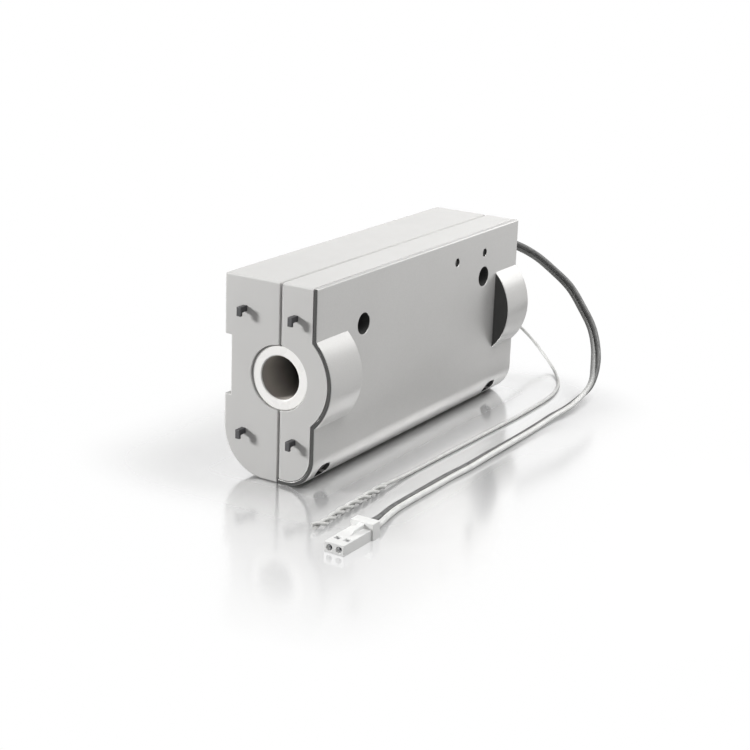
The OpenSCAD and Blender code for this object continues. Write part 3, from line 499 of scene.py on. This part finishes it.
# %% Making the power lead
CORE_R, CORE_OVERLAP, HALF_CONTACT_PITCH = 0.72, 0.02, 1.27
PARTS_BEFORE_END, PARTING_RUN = 9, 8
parting = np.clip((run_along(power_line) - POWER_LENGTH + PARTS_BEFORE_END) / PARTING_RUN, 0, 1)
half_pitch = CORE_R - CORE_OVERLAP + (HALF_CONTACT_PITCH - CORE_R) * parting ** 1.5
lead = bmesh.new()
add_tube(lead, power_line + power_side * half_pitch[:, None], power_side, CORE_R, 0)
add_tube(lead, power_line - power_side * half_pitch[:, None], power_side, CORE_R, 1)
joined = int(np.argmax(parting > 0.05))
add_tube(lead, power_line[:joined], power_side[:joined], 0.35, 1, sides=8, flat=0.5)
power_lead = finished(lead, "power_lead", [dark_core_pvc, light_core_pvc])
print("power lead mesh:", len(power_lead.data.polygons), "faces")

# %% [markdown]
# ## The aerial wire and its twisted end
#
# The aerial is one thin pale wire. It curls out of the far end, lies along the floor, and its last
# stretch is folded back and twisted on itself, which keeps it out of the way in the carton. The twist
# is a helix: each strand circles the middle line at the radius of the wire, so the two touch along
# their whole length, and one turn takes about eight millimetres. The strand that comes from the housing
# and the strand that is folded back are two pieces, half a turn apart.

# %% Where the aerial runs
aerial_points = [
    (52, 9.6, 21), (53.5, 9.6, 21), (57, 9.2, 21), (61, 8.5, 20.4), (65.5, 7.5, 19.5), (69.5, 6, 17.5),
    (73, 4.5, 15.5), (76.5, 2.5, 13), (79, 0, 10), (80, -3.5, 6.6), (79.3, -7, 3.8),
    (77, -10.5, 2), (74, -13.5, 1.1), (70, -16.5, 0.6), (66, -19, 0.5), (62, -20.8, 0.5),
    (57.5, -22.3, 0.5), (53, -23.3, 0.5), (48.5, -23.8, 0.5), (44, -24, 0.5), (38, -24.2, 0.5),
    (30, -24.3, 0.5), (21, -24.2, 0.5), (12, -24, 0.5), (3, -23.8, 0.5), (-6, -23.6, 0.5),
    (-15, -23.4, 0.5), (-24, -23.3, 0.5), (-31, -23.3, 0.7), (-35, -23.3, 0.95), (-36.5, -23.3, 0.95)]
twist_points = [
    (-36.5, -23.3, 0.95), (-38, -23.3, 0.95), (-46.5, -23.6, 0.95), (-54, -23.8, 0.95),
    (-60, -24, 0.95), (-64.3, -24.7, 0.95), (-67, -24.5, 1), (-69.5, -24.1, 1.1)]
WIRE_R, LOWEST_WIRE = 0.45, 0.48
TURN_LENGTH, EASING = 8.0, 2.0


def twisted(line, start_turn):
    """A strand round a middle line; it eases out from the line over the first two millimetres."""
    run = run_along(line)
    t = directions(line)
    up = square_to(line, np.array([0.0, 0.0, 1.0]))
    across = np.cross(t, up)
    angle = start_turn + 2 * math.pi * run / TURN_LENGTH
    reach = WIRE_R * np.clip(run / EASING, 0, 1)
    return line + reach[:, None] * (np.cos(angle)[:, None] * up + np.sin(angle)[:, None] * across)


aerial_line = smooth_line(aerial_points, 5)
aerial_line[:, 2] = np.maximum(aerial_line[:, 2], LOWEST_WIRE)
twist_line = smooth_line(twist_points, 16)
out_strand = twisted(twist_line, 0.0)
back_strand = twisted(twist_line, math.pi)[8:-1][::-1]
aerial_whole = np.vstack([aerial_line[:-1], out_strand])

# %% Making the aerial
def strand(line, name):
    bm = bmesh.new()
    add_tube(bm, line, np.array([0.0, 0.15, 1.0]), WIRE_R, 0, sides=10)
    return finished(bm, name, [aerial_pvc])


aerial, aerial_tail = strand(aerial_whole, "aerial"), strand(back_strand, "aerial_tail")
print("aerial mesh:", len(aerial.data.polygons) + len(aerial_tail.data.polygons), "faces")

# %% [markdown]
# ## Rounded copies of CAD parts
#
# No moulded or machined part has a perfectly sharp edge, and it is the narrow rounded edges that catch
# the light in a photograph. The CAD parts have sharp ones, so a part that shows is copied: its loose
# triangles are merged, flat triangles are joined into whole faces, and each sharp edge gets a weight
# that says how wide its rounding is. The Bevel modifier reads the weights, and Weighted Normal keeps
# the flat faces flat in the light.

# %% Rounding
slot_of = {part["node"]: part["material_slot"] for part in frame["record"]["subparts"]}
SAME_POINT, FLAT, SHARP = 3e-6, math.radians(0.6), math.radians(28)


def rounded_copy(node, name, width_at, segments=3, cuts=()):
    """A copy with rounded edges, in the finish of the part's slot.

    width_at(x, y, z in mm, edge direction) gives an edge's rounding in mm, or 0 to leave it sharp.

    Flat triangles are joined into whole faces, but a face can't have a hole in it. So a part with holes is
    first scored along cuts, planes of (axis, place in mm) through the holes, and no face crosses those."""
    bm = bmesh.new()
    bm.from_mesh(nodes[node].data)
    bmesh.ops.remove_doubles(bm, verts=bm.verts, dist=SAME_POINT)
    for axis, spot in cuts:
        across = Vector([float(k == axis) for k in range(3)])
        scored = bmesh.ops.bisect_plane(bm, geom=bm.verts[:] + bm.edges[:] + bm.faces[:], dist=2e-5,
                                        plane_co=across * spot * MM, plane_no=across)
        for part in scored["geom_cut"]:
            if isinstance(part, bmesh.types.BMEdge):
                part.seam = True
    bmesh.ops.dissolve_limit(bm, angle_limit=FLAT, verts=bm.verts, edges=bm.edges, delimit={"SEAM"})
    weight = bm.edges.layers.float.new("bevel_weight_edge")
    found = []
    for edge in bm.edges:
        if len(edge.link_faces) != 2 or edge.calc_face_angle(0) < SHARP:
            continue
        middle = (edge.verts[0].co + edge.verts[1].co) / 2 / MM
        width = width_at(middle.x, middle.y, middle.z, (edge.verts[1].co - edge.verts[0].co).normalized())
        if width > 0:
            found.append((edge, width))
        else:
            edge.smooth = False
    widest = max(width for _, width in found)
    for edge, width in found:
        edge[weight] = width / widest
    for face in bm.faces:
        face.smooth = True
    obj = finished(bm, name, [finish_of[slot_of[node]]])
    bevel = obj.modifiers.new("rounding", "BEVEL")
    bevel.limit_method = "WEIGHT"
    bevel.width = widest * MM
    bevel.segments = segments
    bevel.use_clamp_overlap = False
    bevel.loop_slide = False
    even = obj.modifiers.new("even_light", "WEIGHTED_NORMAL")
    even.keep_sharp = True
    plain = plain_mesh(obj, name)
    print(name, "has", len(found), "rounded edges and", len(plain.data.polygons), "faces")
    return plain


def plain_mesh(obj, name):
    """The object as its modifiers make it, as a plain mesh in its place."""
    bpy.context.view_layer.update()
    graph = bpy.context.evaluated_depsgraph_get()
    mesh = bpy.data.meshes.new_from_object(obj.evaluated_get(graph), depsgraph=graph)
    mesh.name = name
    bpy.data.objects.remove(obj)
    return put(name, mesh)

# %% [markdown]
# ## The silver cover
#
# The cover is a thin moulding with crisp but rounded edges. After the rounding, each face is sorted by
# where it lies: the outer skin and the top edge take the silver paint, and the end edges, the walls of
# the holes and the steps of the two bulges stay bare and dark.

# %% The cover
TUBE_Y, TUBE_Z, BULGE_R = -0.5, 26.5, 15.0
FRONT_Y, ROUND_R, SKIN = -11.0, 8.0, 0.22
ROUND_HOLES = ((-29.5, 37.4, 2.7), (31.0, 37.4, 2.7), (16.0, 44.0, 1.1), (31.0, 44.0, 1.1))  # x, z, radius
SLOTS_X, SLOTS_Z = (-44.2, 39.5), 3.9


def on_brow(y, z):
    """True at the top front edge, which is rounded more than the rest."""
    return z > 49.5 and y < FRONT_Y + 0.5


def on_skin(x, y, z):
    """True on the outer skin of the cover, which the spray reaches."""
    centre_y = FRONT_Y + ROUND_R
    bulge = (x < -36.0 or x > 37.5) and math.hypot(y - TUBE_Y, z - TUBE_Z) > BULGE_R - SKIN
    curve = z < ROUND_R and y < centre_y and math.hypot(y - centre_y, z - ROUND_R) > ROUND_R - SKIN
    return bulge or curve or y < FRONT_Y + SKIN or z < SKIN or on_brow(y, z)


def cover_width(x, y, z, along):
    for hole_x, hole_z, r in ROUND_HOLES:
        if math.hypot(x - hole_x, z - hole_z) < r + 0.8:
            return 0.15 if y < FRONT_Y + 0.3 else 0.0
    if FRONT_Y - 0.05 < y < FRONT_Y + 1.3 and 15.0 < z < 38.0 and (x < -35.0 or x > 36.5):
        return 0.0  # the foot of a bulge
    if z < 6.5 and min(abs(x - slot) for slot in SLOTS_X) < 3.2 and y < -6:
        return 0.12  # a lower screw opening
    if on_brow(y, z) and abs(along.x) > 0.9:
        return 0.45
    return 0.3 if on_skin(x, y, z) else 0.1


scores = {(2, SLOTS_Z)} | {(0, x) for x in SLOTS_X}
for hole_x, hole_z, r in ROUND_HOLES:
    scores |= {(0, hole_x), (2, hole_z)}
cover = rounded_copy("front_cover", "silver_cover", cover_width, cuts=sorted(scores))
cover.data.materials.append(bare_edge)
for face in cover.data.polygons:
    c, n = face.center / MM, face.normal
    sprayed = on_skin(c.x, c.y, c.z) and abs(n.x) < 0.8 and n.y < 0.6 and n.z < 0.85
    top_edge = c.z > 49.7 and n.z > 0.5
    face.material_index = 0 if sprayed or top_edge else 1
print("painted faces:", sum(f.material_index == 0 for f in cover.data.polygons))

# %% [markdown]
# ## The two chassis shells
#
# The grey chassis is moulded in two halves that meet in a narrow groove. Its outer edges are rounded
# by half a millimetre or so, and the groove and the bores by less, so that the line between the
# halves stays fine.

# %% The shells
HOOKS_Y, HOOKS_Z, HOOKS_HALF_Y, HOOKS_HALF_Z = 2.25, 26.8, 7.3, 15.3


def shell_width(x, y, z, along):
    at_end, from_tube = abs(x) > 49.9, math.hypot(y - TUBE_Y, z - TUBE_Z)
    if at_end and abs(abs(y - HOOKS_Y) - HOOKS_HALF_Y) < 1.2 and abs(abs(z - HOOKS_Z) - HOOKS_HALF_Z) < 1.2:
        return 0.0  # round the root of a hook
    if -1.3 < y < -0.4:  # the groove between the halves
        return 0.3 if z > 2 else 0.08
    if at_end and from_tube < 9:
        return 0.18  # the bore
    if y < -9.5 or at_end and y < -1.3 and z < 49.4:
        return 0.1  # what the cover fits round
    if at_end and (abs(y - 2.5) < 2.2 and abs(z - 40.5) < 3 or math.hypot(y - 9.6, z - 21) < 2):
        return 0.1  # the two holes for the leads
    if y > 12.9 and 19 < z < 35.6:
        return 0.3  # the channel along the back
    if at_end or z > 49.4 or z < 0.6 or y > 14.9:
        return 0.6  # the outer edges
    return 0.0


hook_cuts = [(2, 11.5), (2, 42.1)]
rear_cuts = hook_cuts + [(1, 9.58), (1, 2.5), (2, 40.5), (2, 21.0), (2, 26.5)]
front_chassis = rounded_copy("front_shell", "front_chassis", shell_width, 2, cuts=hook_cuts + [(1, -5.05)])
rear_chassis = rounded_copy("rear_shell", "rear_chassis", shell_width, 2, cuts=rear_cuts)

# %% [markdown]
# ## Bushes, grommets, button and connector
#
# These small parts show at the ends and through the holes. The bushes are smooth acetal with generous
# edges, the grommets are soft rubber, and the connector is a white nylon moulding.

# %% Small moulded parts
def all_edges(width):
    return lambda x, y, z, along: width


near_bush = rounded_copy("near_bush", "near_drive_bush", all_edges(0.35), 4)
far_bush = rounded_copy("far_bush", "far_drive_bush", all_edges(0.35), 4)
power_boot = rounded_copy("power_grommet", "power_boot", all_edges(0.15))
aerial_boot = rounded_copy("aerial_grommet", "aerial_boot", all_edges(0.15))
button = rounded_copy("program_button", "button_cap", all_edges(0.15))
connector = rounded_copy("power_connector", "lead_connector", all_edges(0.12))

# %% [markdown]
# ## One hook, eight places
#
# Each end face carries four small hooks on a rectangle, and the far end is the near end turned round.
# A piece that repeats on a pattern is a job for Geometry Nodes: the tree takes one hook, lays a grid of
# two by two points, sets the hook on each, and does the same again half a turn round for the other
# end. The spans are inputs, so the pattern can change without touching the hook.

# %% A tree that sets one piece on both end faces
def group(name, sockets):
    tree = bpy.data.node_groups.new(name, "GeometryNodeTree")
    tree.interface.new_socket("Piece", in_out="INPUT", socket_type="NodeSocketGeometry")
    for title, kind in sockets:
        tree.interface.new_socket(title, in_out="INPUT", socket_type="NodeSocket" + kind)
    tree.interface.new_socket("Result", in_out="OUTPUT", socket_type="NodeSocketGeometry")
    return tree, add(tree, "NodeGroupInput"), add(tree, "NodeGroupOutput")


def close_tree(tree, given, result, geometry):
    """Every tree ends in real geometry with its finish set."""
    real = add(tree, "GeometryNodeRealizeInstances", [("Geometry", geometry)])
    dressed = add(tree, "GeometryNodeSetMaterial",
                  [("Geometry", real.outputs[0]), ("Material", given.outputs["Finish"])])
    tree.links.new(dressed.outputs[0], result.inputs[0])
    return tree


def end_face_pattern():
    tree, given, result = group("pieces_on_both_end_faces", [
        ("Span across", "Float"), ("Span up", "Float"), ("Far centre", "Vector"), ("Near centre", "Vector"),
        ("Finish", "Material")])
    grid = add(tree, "GeometryNodeMeshGrid", [
        ("Size X", given.outputs["Span up"]), ("Size Y", given.outputs["Span across"]),
        ("Vertices X", 2), ("Vertices Y", 2)])
    upright_grid = add(tree, "GeometryNodeTransform",
                       [("Geometry", grid.outputs["Mesh"]), ("Rotation", (0.0, math.pi / 2, 0.0))])
    joined = add(tree, "GeometryNodeJoinGeometry")
    for centre, turn in (("Far centre", 0.0), ("Near centre", math.pi)):
        placed = add(tree, "GeometryNodeTransform",
                     [("Geometry", upright_grid.outputs[0]), ("Translation", given.outputs[centre])])
        on_points = add(tree, "GeometryNodeInstanceOnPoints", [
            ("Points", placed.outputs[0]), ("Instance", given.outputs["Piece"]),
            ("Rotation", (0.0, 0.0, turn))])
        tree.links.new(on_points.outputs[0], joined.inputs[0])
    return close_tree(tree, given, result, joined.outputs[0])


def grown(obj, tree, name, **values):
    """Runs a tree on an object with its inputs set, and returns the result as a plain mesh."""
    modifier = obj.modifiers.new("pattern", "NODES")
    modifier.node_group = tree
    wanted = {title.replace("_", " ").capitalize(): value for title, value in values.items()}
    for item in tree.interface.items_tree:
        if item.in_out == "INPUT" and item.name in wanted:
            modifier[item.identifier] = wanted.pop(item.name)
    assert not wanted, wanted
    return plain_mesh(obj, name)

# %% The hook
HOOK_W, HOOK_H, HOOK_REACH, HOOK_ROOT, HOOK_ROUND = 1.3, 1.4, 2.6, 1.2, 0.13
NIB_LONG, NIB_DROP = 0.7, 0.9


def one_hook():
    """A square stem along X whose tip turns down, with its edges rounded."""
    half = HOOK_H / 2
    nib_z, nib_x = -half - NIB_DROP, HOOK_REACH - NIB_LONG
    outline = [(-HOOK_ROOT, half), (HOOK_REACH, half), (HOOK_REACH, nib_z), (nib_x, nib_z),
               (nib_x, -half), (-HOOK_ROOT, -half)]
    bm = bmesh.new()
    side = bm.faces.new([bm.verts.new(Vector((x, -HOOK_W / 2, z)) * MM) for x, z in outline])
    grown_side = bmesh.ops.extrude_face_region(bm, geom=[side])
    moved = [v for v in grown_side["geom"] if isinstance(v, bmesh.types.BMVert)]
    bmesh.ops.translate(bm, verts=moved, vec=Vector((0, HOOK_W * MM, 0)))
    bmesh.ops.recalc_face_normals(bm, faces=bm.faces)
    showing = [e for e in bm.edges if min(v.co.x for v in e.verts) > -0.9 * MM or e.calc_length() > 2 * MM]
    bmesh.ops.bevel(bm, geom=showing, offset=HOOK_ROUND * MM, segments=2, profile=0.5, affect="EDGES",
                    clamp_overlap=True)
    return finished(bm, "one_hook")


hooks = grown(one_hook(), end_face_pattern(), "mounting_hooks",
              span_across=2 * HOOKS_HALF_Y * MM, span_up=2 * HOOKS_HALF_Z * MM,
              far_centre=Vector((50.0, HOOKS_Y, HOOKS_Z)) * MM,
              near_centre=Vector((-50.0, HOOKS_Y, HOOKS_Z)) * MM, finish=finish_of["hook_dark"])
print("hooks:", len(hooks.data.polygons), "faces")

# %% [markdown]
# ## Screws in a row
#
# The four screws that hold the shells sit deep in their holes, so only the heads show. A screw head is
# a shallow dome with a cross pressed into it. It is turned from a short outline, two crossed bars are
# cut out of it, and a second tree sets copies of the screw along a line.

# %% A tree that sets pieces in a row
def row_pattern():
    tree, given, result = group("pieces_in_a_row", [
        ("Count", "Int"), ("First", "Vector"), ("Step", "Vector"), ("Finish", "Material")])
    row = add(tree, "GeometryNodeMeshLine", [
        ("Count", given.outputs["Count"]), ("Start Location", given.outputs["First"]),
        ("Offset", given.outputs["Step"])])
    on_points = add(tree, "GeometryNodeInstanceOnPoints",
                    [("Points", row.outputs[0]), ("Instance", given.outputs["Piece"])])
    return close_tree(tree, given, result, on_points.outputs[0])


in_a_row = row_pattern()

# %% The screw
def turned_on_y(outline, sides=32):
    """A solid turned about Y from (radius, y) points in mm; the first and last lie on the axis."""
    bm = bmesh.new()
    tip = bm.verts.new(Vector((0, outline[0][1], 0)) * MM)
    end = bm.verts.new(Vector((0, outline[-1][1], 0)) * MM)
    turns = [2 * math.pi * k / sides for k in range(sides)]
    rings = [[bm.verts.new(Vector((r * math.cos(a), y, r * math.sin(a))) * MM) for a in turns]
             for r, y in outline[1:-1]]
    for k in range(sides):
        n = (k + 1) % sides
        bm.faces.new((tip, rings[0][k], rings[0][n]))
        bm.faces.new((end, rings[-1][n], rings[-1][k]))
        for a, b in zip(rings, rings[1:]):
            bm.faces.new((a[k], b[k], b[n], a[n]))
    bmesh.ops.recalc_face_normals(bm, faces=bm.faces)
    for face in bm.faces:
        face.smooth = True
    return bm


def screw(name, head_r, head_h, core_r, length):
    """Seat at y = 0, head towards -Y, thread towards +Y; the thread is a row of ridges."""
    ridges, pitch, y = [], 0.8, 0.6
    while y < length - 1.0:
        ridges += [(core_r * 0.8, y), (core_r, y + pitch / 2)]
        y += pitch
    dome = [(0, 1), (0.35, 1), (0.7, 0.93), (0.9, 0.74), (1, 0.42)]
    outline = [(head_r * r, -head_h * h) for r, h in dome]
    outline += [(head_r, -0.06), (head_r * 0.97, 0), (core_r * 0.8, 0)] + ridges
    outline += [(core_r * 0.8, y), (core_r * 0.25, length), (0, length)]
    obj = finished(turned_on_y(outline), name)
    cutters = bmesh.new()
    for w, h in ((head_r * 1.15, head_r * 0.28), (head_r * 0.28, head_r * 1.15)):
        made = bmesh.ops.create_cube(cutters, size=1.0)
        bmesh.ops.scale(cutters, verts=made["verts"], vec=Vector((w, head_h * 1.2, h)) * MM)
        bmesh.ops.translate(cutters, verts=made["verts"], vec=Vector((0, -head_h, 0)) * MM)
    tool = finished(cutters, "cross_cutter")
    cut = obj.modifiers.new("cross", "BOOLEAN")
    cut.operation, cut.solver, cut.object, cut.use_self = "DIFFERENCE", "EXACT", tool, True
    made = plain_mesh(obj, name)
    bpy.data.objects.remove(tool)
    for polygon in made.data.polygons:
        polygon.use_smooth = False
    return made


upper = screw("one_upper_screw", 2.3, 1.8, 1.15, 12)
upper_screws = grown(upper, in_a_row, "upper_housing_screws", count=2,
                     first=Vector((-29.5, -4.5, 37.4)) * MM, step=Vector((60.5, 0, 0)) * MM,
                     finish=finish_of["screw_black"])
lower = screw("one_lower_screw", 1.5, 1.2, 0.9, 10)
lower_screws = grown(lower, in_a_row, "lower_housing_screws", count=2,
                     first=Vector((SLOTS_X[0], -5.9, SLOTS_Z)) * MM,
                     step=Vector((SLOTS_X[1] - SLOTS_X[0], 0, 0)) * MM, finish=finish_of["screw_black"])
print("screws:", len(upper_screws.data.polygons) + len(lower_screws.data.polygons), "faces")

# %% [markdown]
# ## Giving every carried-over part its finish
#
# The parts inside the housing keep their CAD shape, because only their finish was missing. The record
# already names a material slot for each part, and each finish above was filed under a slot. So one loop
# dresses them all, and a part added later gets its finish by naming its slot.

# %% Finishes by slot
for node, obj in nodes.items():
    for place in obj.material_slots:
        place.material = finish_of[slot_of[node]]
print("dressed", len(nodes), "parts with", len(finish_of), "finishes")

# %% [markdown]
# ## Joining the pieces to the frame
#
# Each new piece says which CAD part it stands for, which body it moves with, and which material slot
# its finish belongs to.

# %% Riding and replacing
stands_for = (  # piece, CAD part, body, slot
    (cover, "front_cover", "housing", "cover_silver"),
    (front_chassis, "front_shell", "housing", "shell_grey"),
    (rear_chassis, "rear_shell", "housing", "shell_grey"),
    (hooks, "end_hooks", "housing", "hook_dark"),
    (upper_screws, "upper_screws", "housing", "screw_black"),
    (lower_screws, "lower_screws", "housing", "screw_black"),
    (near_bush, "near_bush", "output_shaft", "bush_white"),
    (far_bush, "far_bush", "output_shaft", "bush_white"),
    (power_boot, "power_grommet", "housing", "rubber_black"),
    (aerial_boot, "aerial_grommet", "housing", "rubber_black"),
    (button, "program_button", "button", "button_black"),
    (connector, "power_connector", "housing", "connector_white"),
    (power_lead, "power_cable", "housing", "cable_grey"),
    (aerial, "aerial_wire", "housing", "wire_white"),
    (aerial_tail, "aerial_twist", "housing", "wire_white"))
for piece, node, body, slot in stands_for:
    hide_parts(node)
    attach(piece, body)
print("pieces that stand for CAD parts:", len(stands_for))


# %% [markdown]
# ## The floor
#
# The photograph shows a white floor with a soft shadow and a faint mirror image of the housing that
# fades as it comes forward. Polished acrylic does that. The floor is a matt white plane with a share of
# gloss that falls off with the distance from the housing, and is least at the far front corner. A few
# centimetres out, the matt white passes into a plain white glow, so that the floor has no far edge.
# All of it is worked out from Object coordinates, so it stays put when the camera moves. For light that
# bounces on from the floor, the plane is darker, because the studio floor beyond the acrylic is.

# %% Floor
WHITE = (1, 1, 1, 1)
HALF_LONG, MIDDLE_Y, HALF_DEEP = 0.050, 0.00225, 0.013  # the housing, in metres
MIRROR_SHARE, MIRROR_REACH = 0.68, 0.115  # the share of gloss at the housing, and where it ends
GLOW_FROM, GLOW_FULL = 0.012, 0.045  # metres from the housing


def blend(tree, factor, first, second):
    """The first shader at 0 and the second at 1."""
    shaders = [(0, factor), (1, first.outputs[0]), (2, second.outputs[0])]
    return add(tree, "ShaderNodeMixShader", shaders)


def pale_floor():
    finish, tree, shader, place = new_finish("pale_studio_floor")
    tree.nodes.remove(shader)
    x, y, _ = add(tree, "ShaderNodeSeparateXYZ", [(0, place)]).outputs

    def beyond(value, middle, half):
        """How far a coordinate lies outside a span, in metres."""
        off = maths(tree, "ABSOLUTE", maths(tree, "SUBTRACT", value, middle))
        return maths(tree, "MAXIMUM", maths(tree, "SUBTRACT", off, half), 0.0)

    sideways = maths(tree, "MULTIPLY", beyond(x, 0.0, HALF_LONG), 1.5)  # it fades sooner past the ends
    span = add(tree, "ShaderNodeCombineXYZ", [(0, sideways), (1, beyond(y, MIDDLE_Y, HALF_DEEP))]).outputs[0]
    away = add(tree, "ShaderNodeVectorMath", [(0, span)], operation="LENGTH").outputs["Value"]
    eased = maths(tree, "POWER", mapped(tree, away, 0.0, MIRROR_REACH, 1.0, 0.0), 1.05)
    far_end, forward = mapped(tree, x, 0.0, 0.04, smooth=True), mapped(tree, y, -0.026, -0.034, smooth=True)
    kept = mapped(tree, maths(tree, "MULTIPLY", far_end, forward), 0.0, 1.0, MIRROR_SHARE, 0.0)
    cloudy = between(tree, mottle(tree, place, 8), 0.62, 0.64)
    pale = add(tree, "ShaderNodeCombineColor", [(0, cloudy), (1, cloudy), (2, cloudy)]).outputs[0]
    matt = add(tree, "ShaderNodeBsdfDiffuse", [("Color", pale)])
    glow = add(tree, "ShaderNodeEmission", [("Color", WHITE), ("Strength", 1.0)])
    ground = blend(tree, mapped(tree, away, GLOW_FROM, GLOW_FULL, smooth=True), matt, glow)
    gloss = add(tree, "ShaderNodeBsdfGlossy", [("Color", WHITE), ("Roughness", 0.15)])
    seen = blend(tree, maths(tree, "MULTIPLY", eased, kept), ground, gloss)
    dim = add(tree, "ShaderNodeBsdfDiffuse", [("Color", (0.18, 0.18, 0.18, 1))])
    bounced = add(tree, "ShaderNodeLightPath").outputs["Is Diffuse Ray"]
    surface = tree.nodes["Material Output"].inputs["Surface"]
    tree.links.new(blend(tree, bounced, seen, dim).outputs[0], surface)
    return finish


plane = bmesh.new()
bmesh.ops.create_grid(plane, x_segments=1, y_segments=1, size=6.0)
floor = finished(plane, "studio_floor", [pale_floor()])
print("floor of", floor.dimensions.x, "m")

# %% [markdown]
# ## Studio light
#
# The little hooks throw their shadows down and towards the front, so the main light stands behind the
# housing on its near side, about twenty degrees up. It is a soft box of moderate size, because those
# shadows have a clear shape with a soft edge. A large box overhead lights the top, two small ones close
# to the far end brighten that end of the front, and a weak one opens the shadows on the near end. The
# camera doesn't see the lamps themselves, because the two small ones stand near. The rest comes from
# the white room, which the camera and the gloss of the materials see as plain white.

# %% Light
LAMPS = (  # name, direction from the object, distance and size in metres, light on the object
    ("key_light", (-0.59, 0.745, 0.31), 1.2, 0.25, 1.10),
    ("overhead_light", (0.15, -0.40, 0.90), 1.2, 0.8, 0.76),
    ("front_light", (0.25, -0.62, 0.75), 0.20, 0.12, 0.30),
    ("far_side_light", (0.83, -0.32, 0.45), 0.20, 0.10, 0.13),
    ("side_light", (-0.80, -0.50, 0.20), 1.2, 0.5, 0.08))
AIM = Vector((0, 0, 0.02))  # what they all point at
for name, toward, distance, size, strength in LAMPS:
    lamp = bpy.data.lights.new(name, "AREA")
    lamp.shape, lamp.size = "DISK", size
    lamp.energy = strength * (math.pi * distance) ** 2
    obj = put(name, lamp)
    obj.visible_camera = False
    facing = Vector(toward).to_track_quat("Z", "Y").to_matrix().to_4x4()
    obj.matrix_world = Matrix.Translation(Vector(toward).normalized() * distance + AIM) @ facing

world = bpy.data.worlds.new("white_room")
bpy.context.scene.world = world
world.use_nodes = True
room = world.node_tree
room.nodes.clear()
look = add(room, "ShaderNodeTexCoord").outputs["Generated"]
height = add(room, "ShaderNodeSeparateXYZ", [(0, look)]).outputs[2]
lift = mapped(room, height, 0.0, 1.0, 0.32, 0.12)  # the room lights more from low down than from above
fill = add(room, "ShaderNodeBackground", [("Color", WHITE), ("Strength", lift)])
white_wall = add(room, "ShaderNodeBackground", [("Color", WHITE), ("Strength", 1.0)])
ray = add(room, "ShaderNodeLightPath").outputs
shown = maths(room, "MAXIMUM", ray["Is Camera Ray"], ray["Is Glossy Ray"])
shown = maths(room, "MAXIMUM", shown, ray["Is Transmission Ray"])
add(room, "ShaderNodeOutputWorld", [("Surface", blend(room, shown, fill, white_wall).outputs[0])])
bpy.context.scene.view_settings.view_transform = "Standard"
print("lamps:", ", ".join(name for name, *rest in LAMPS))
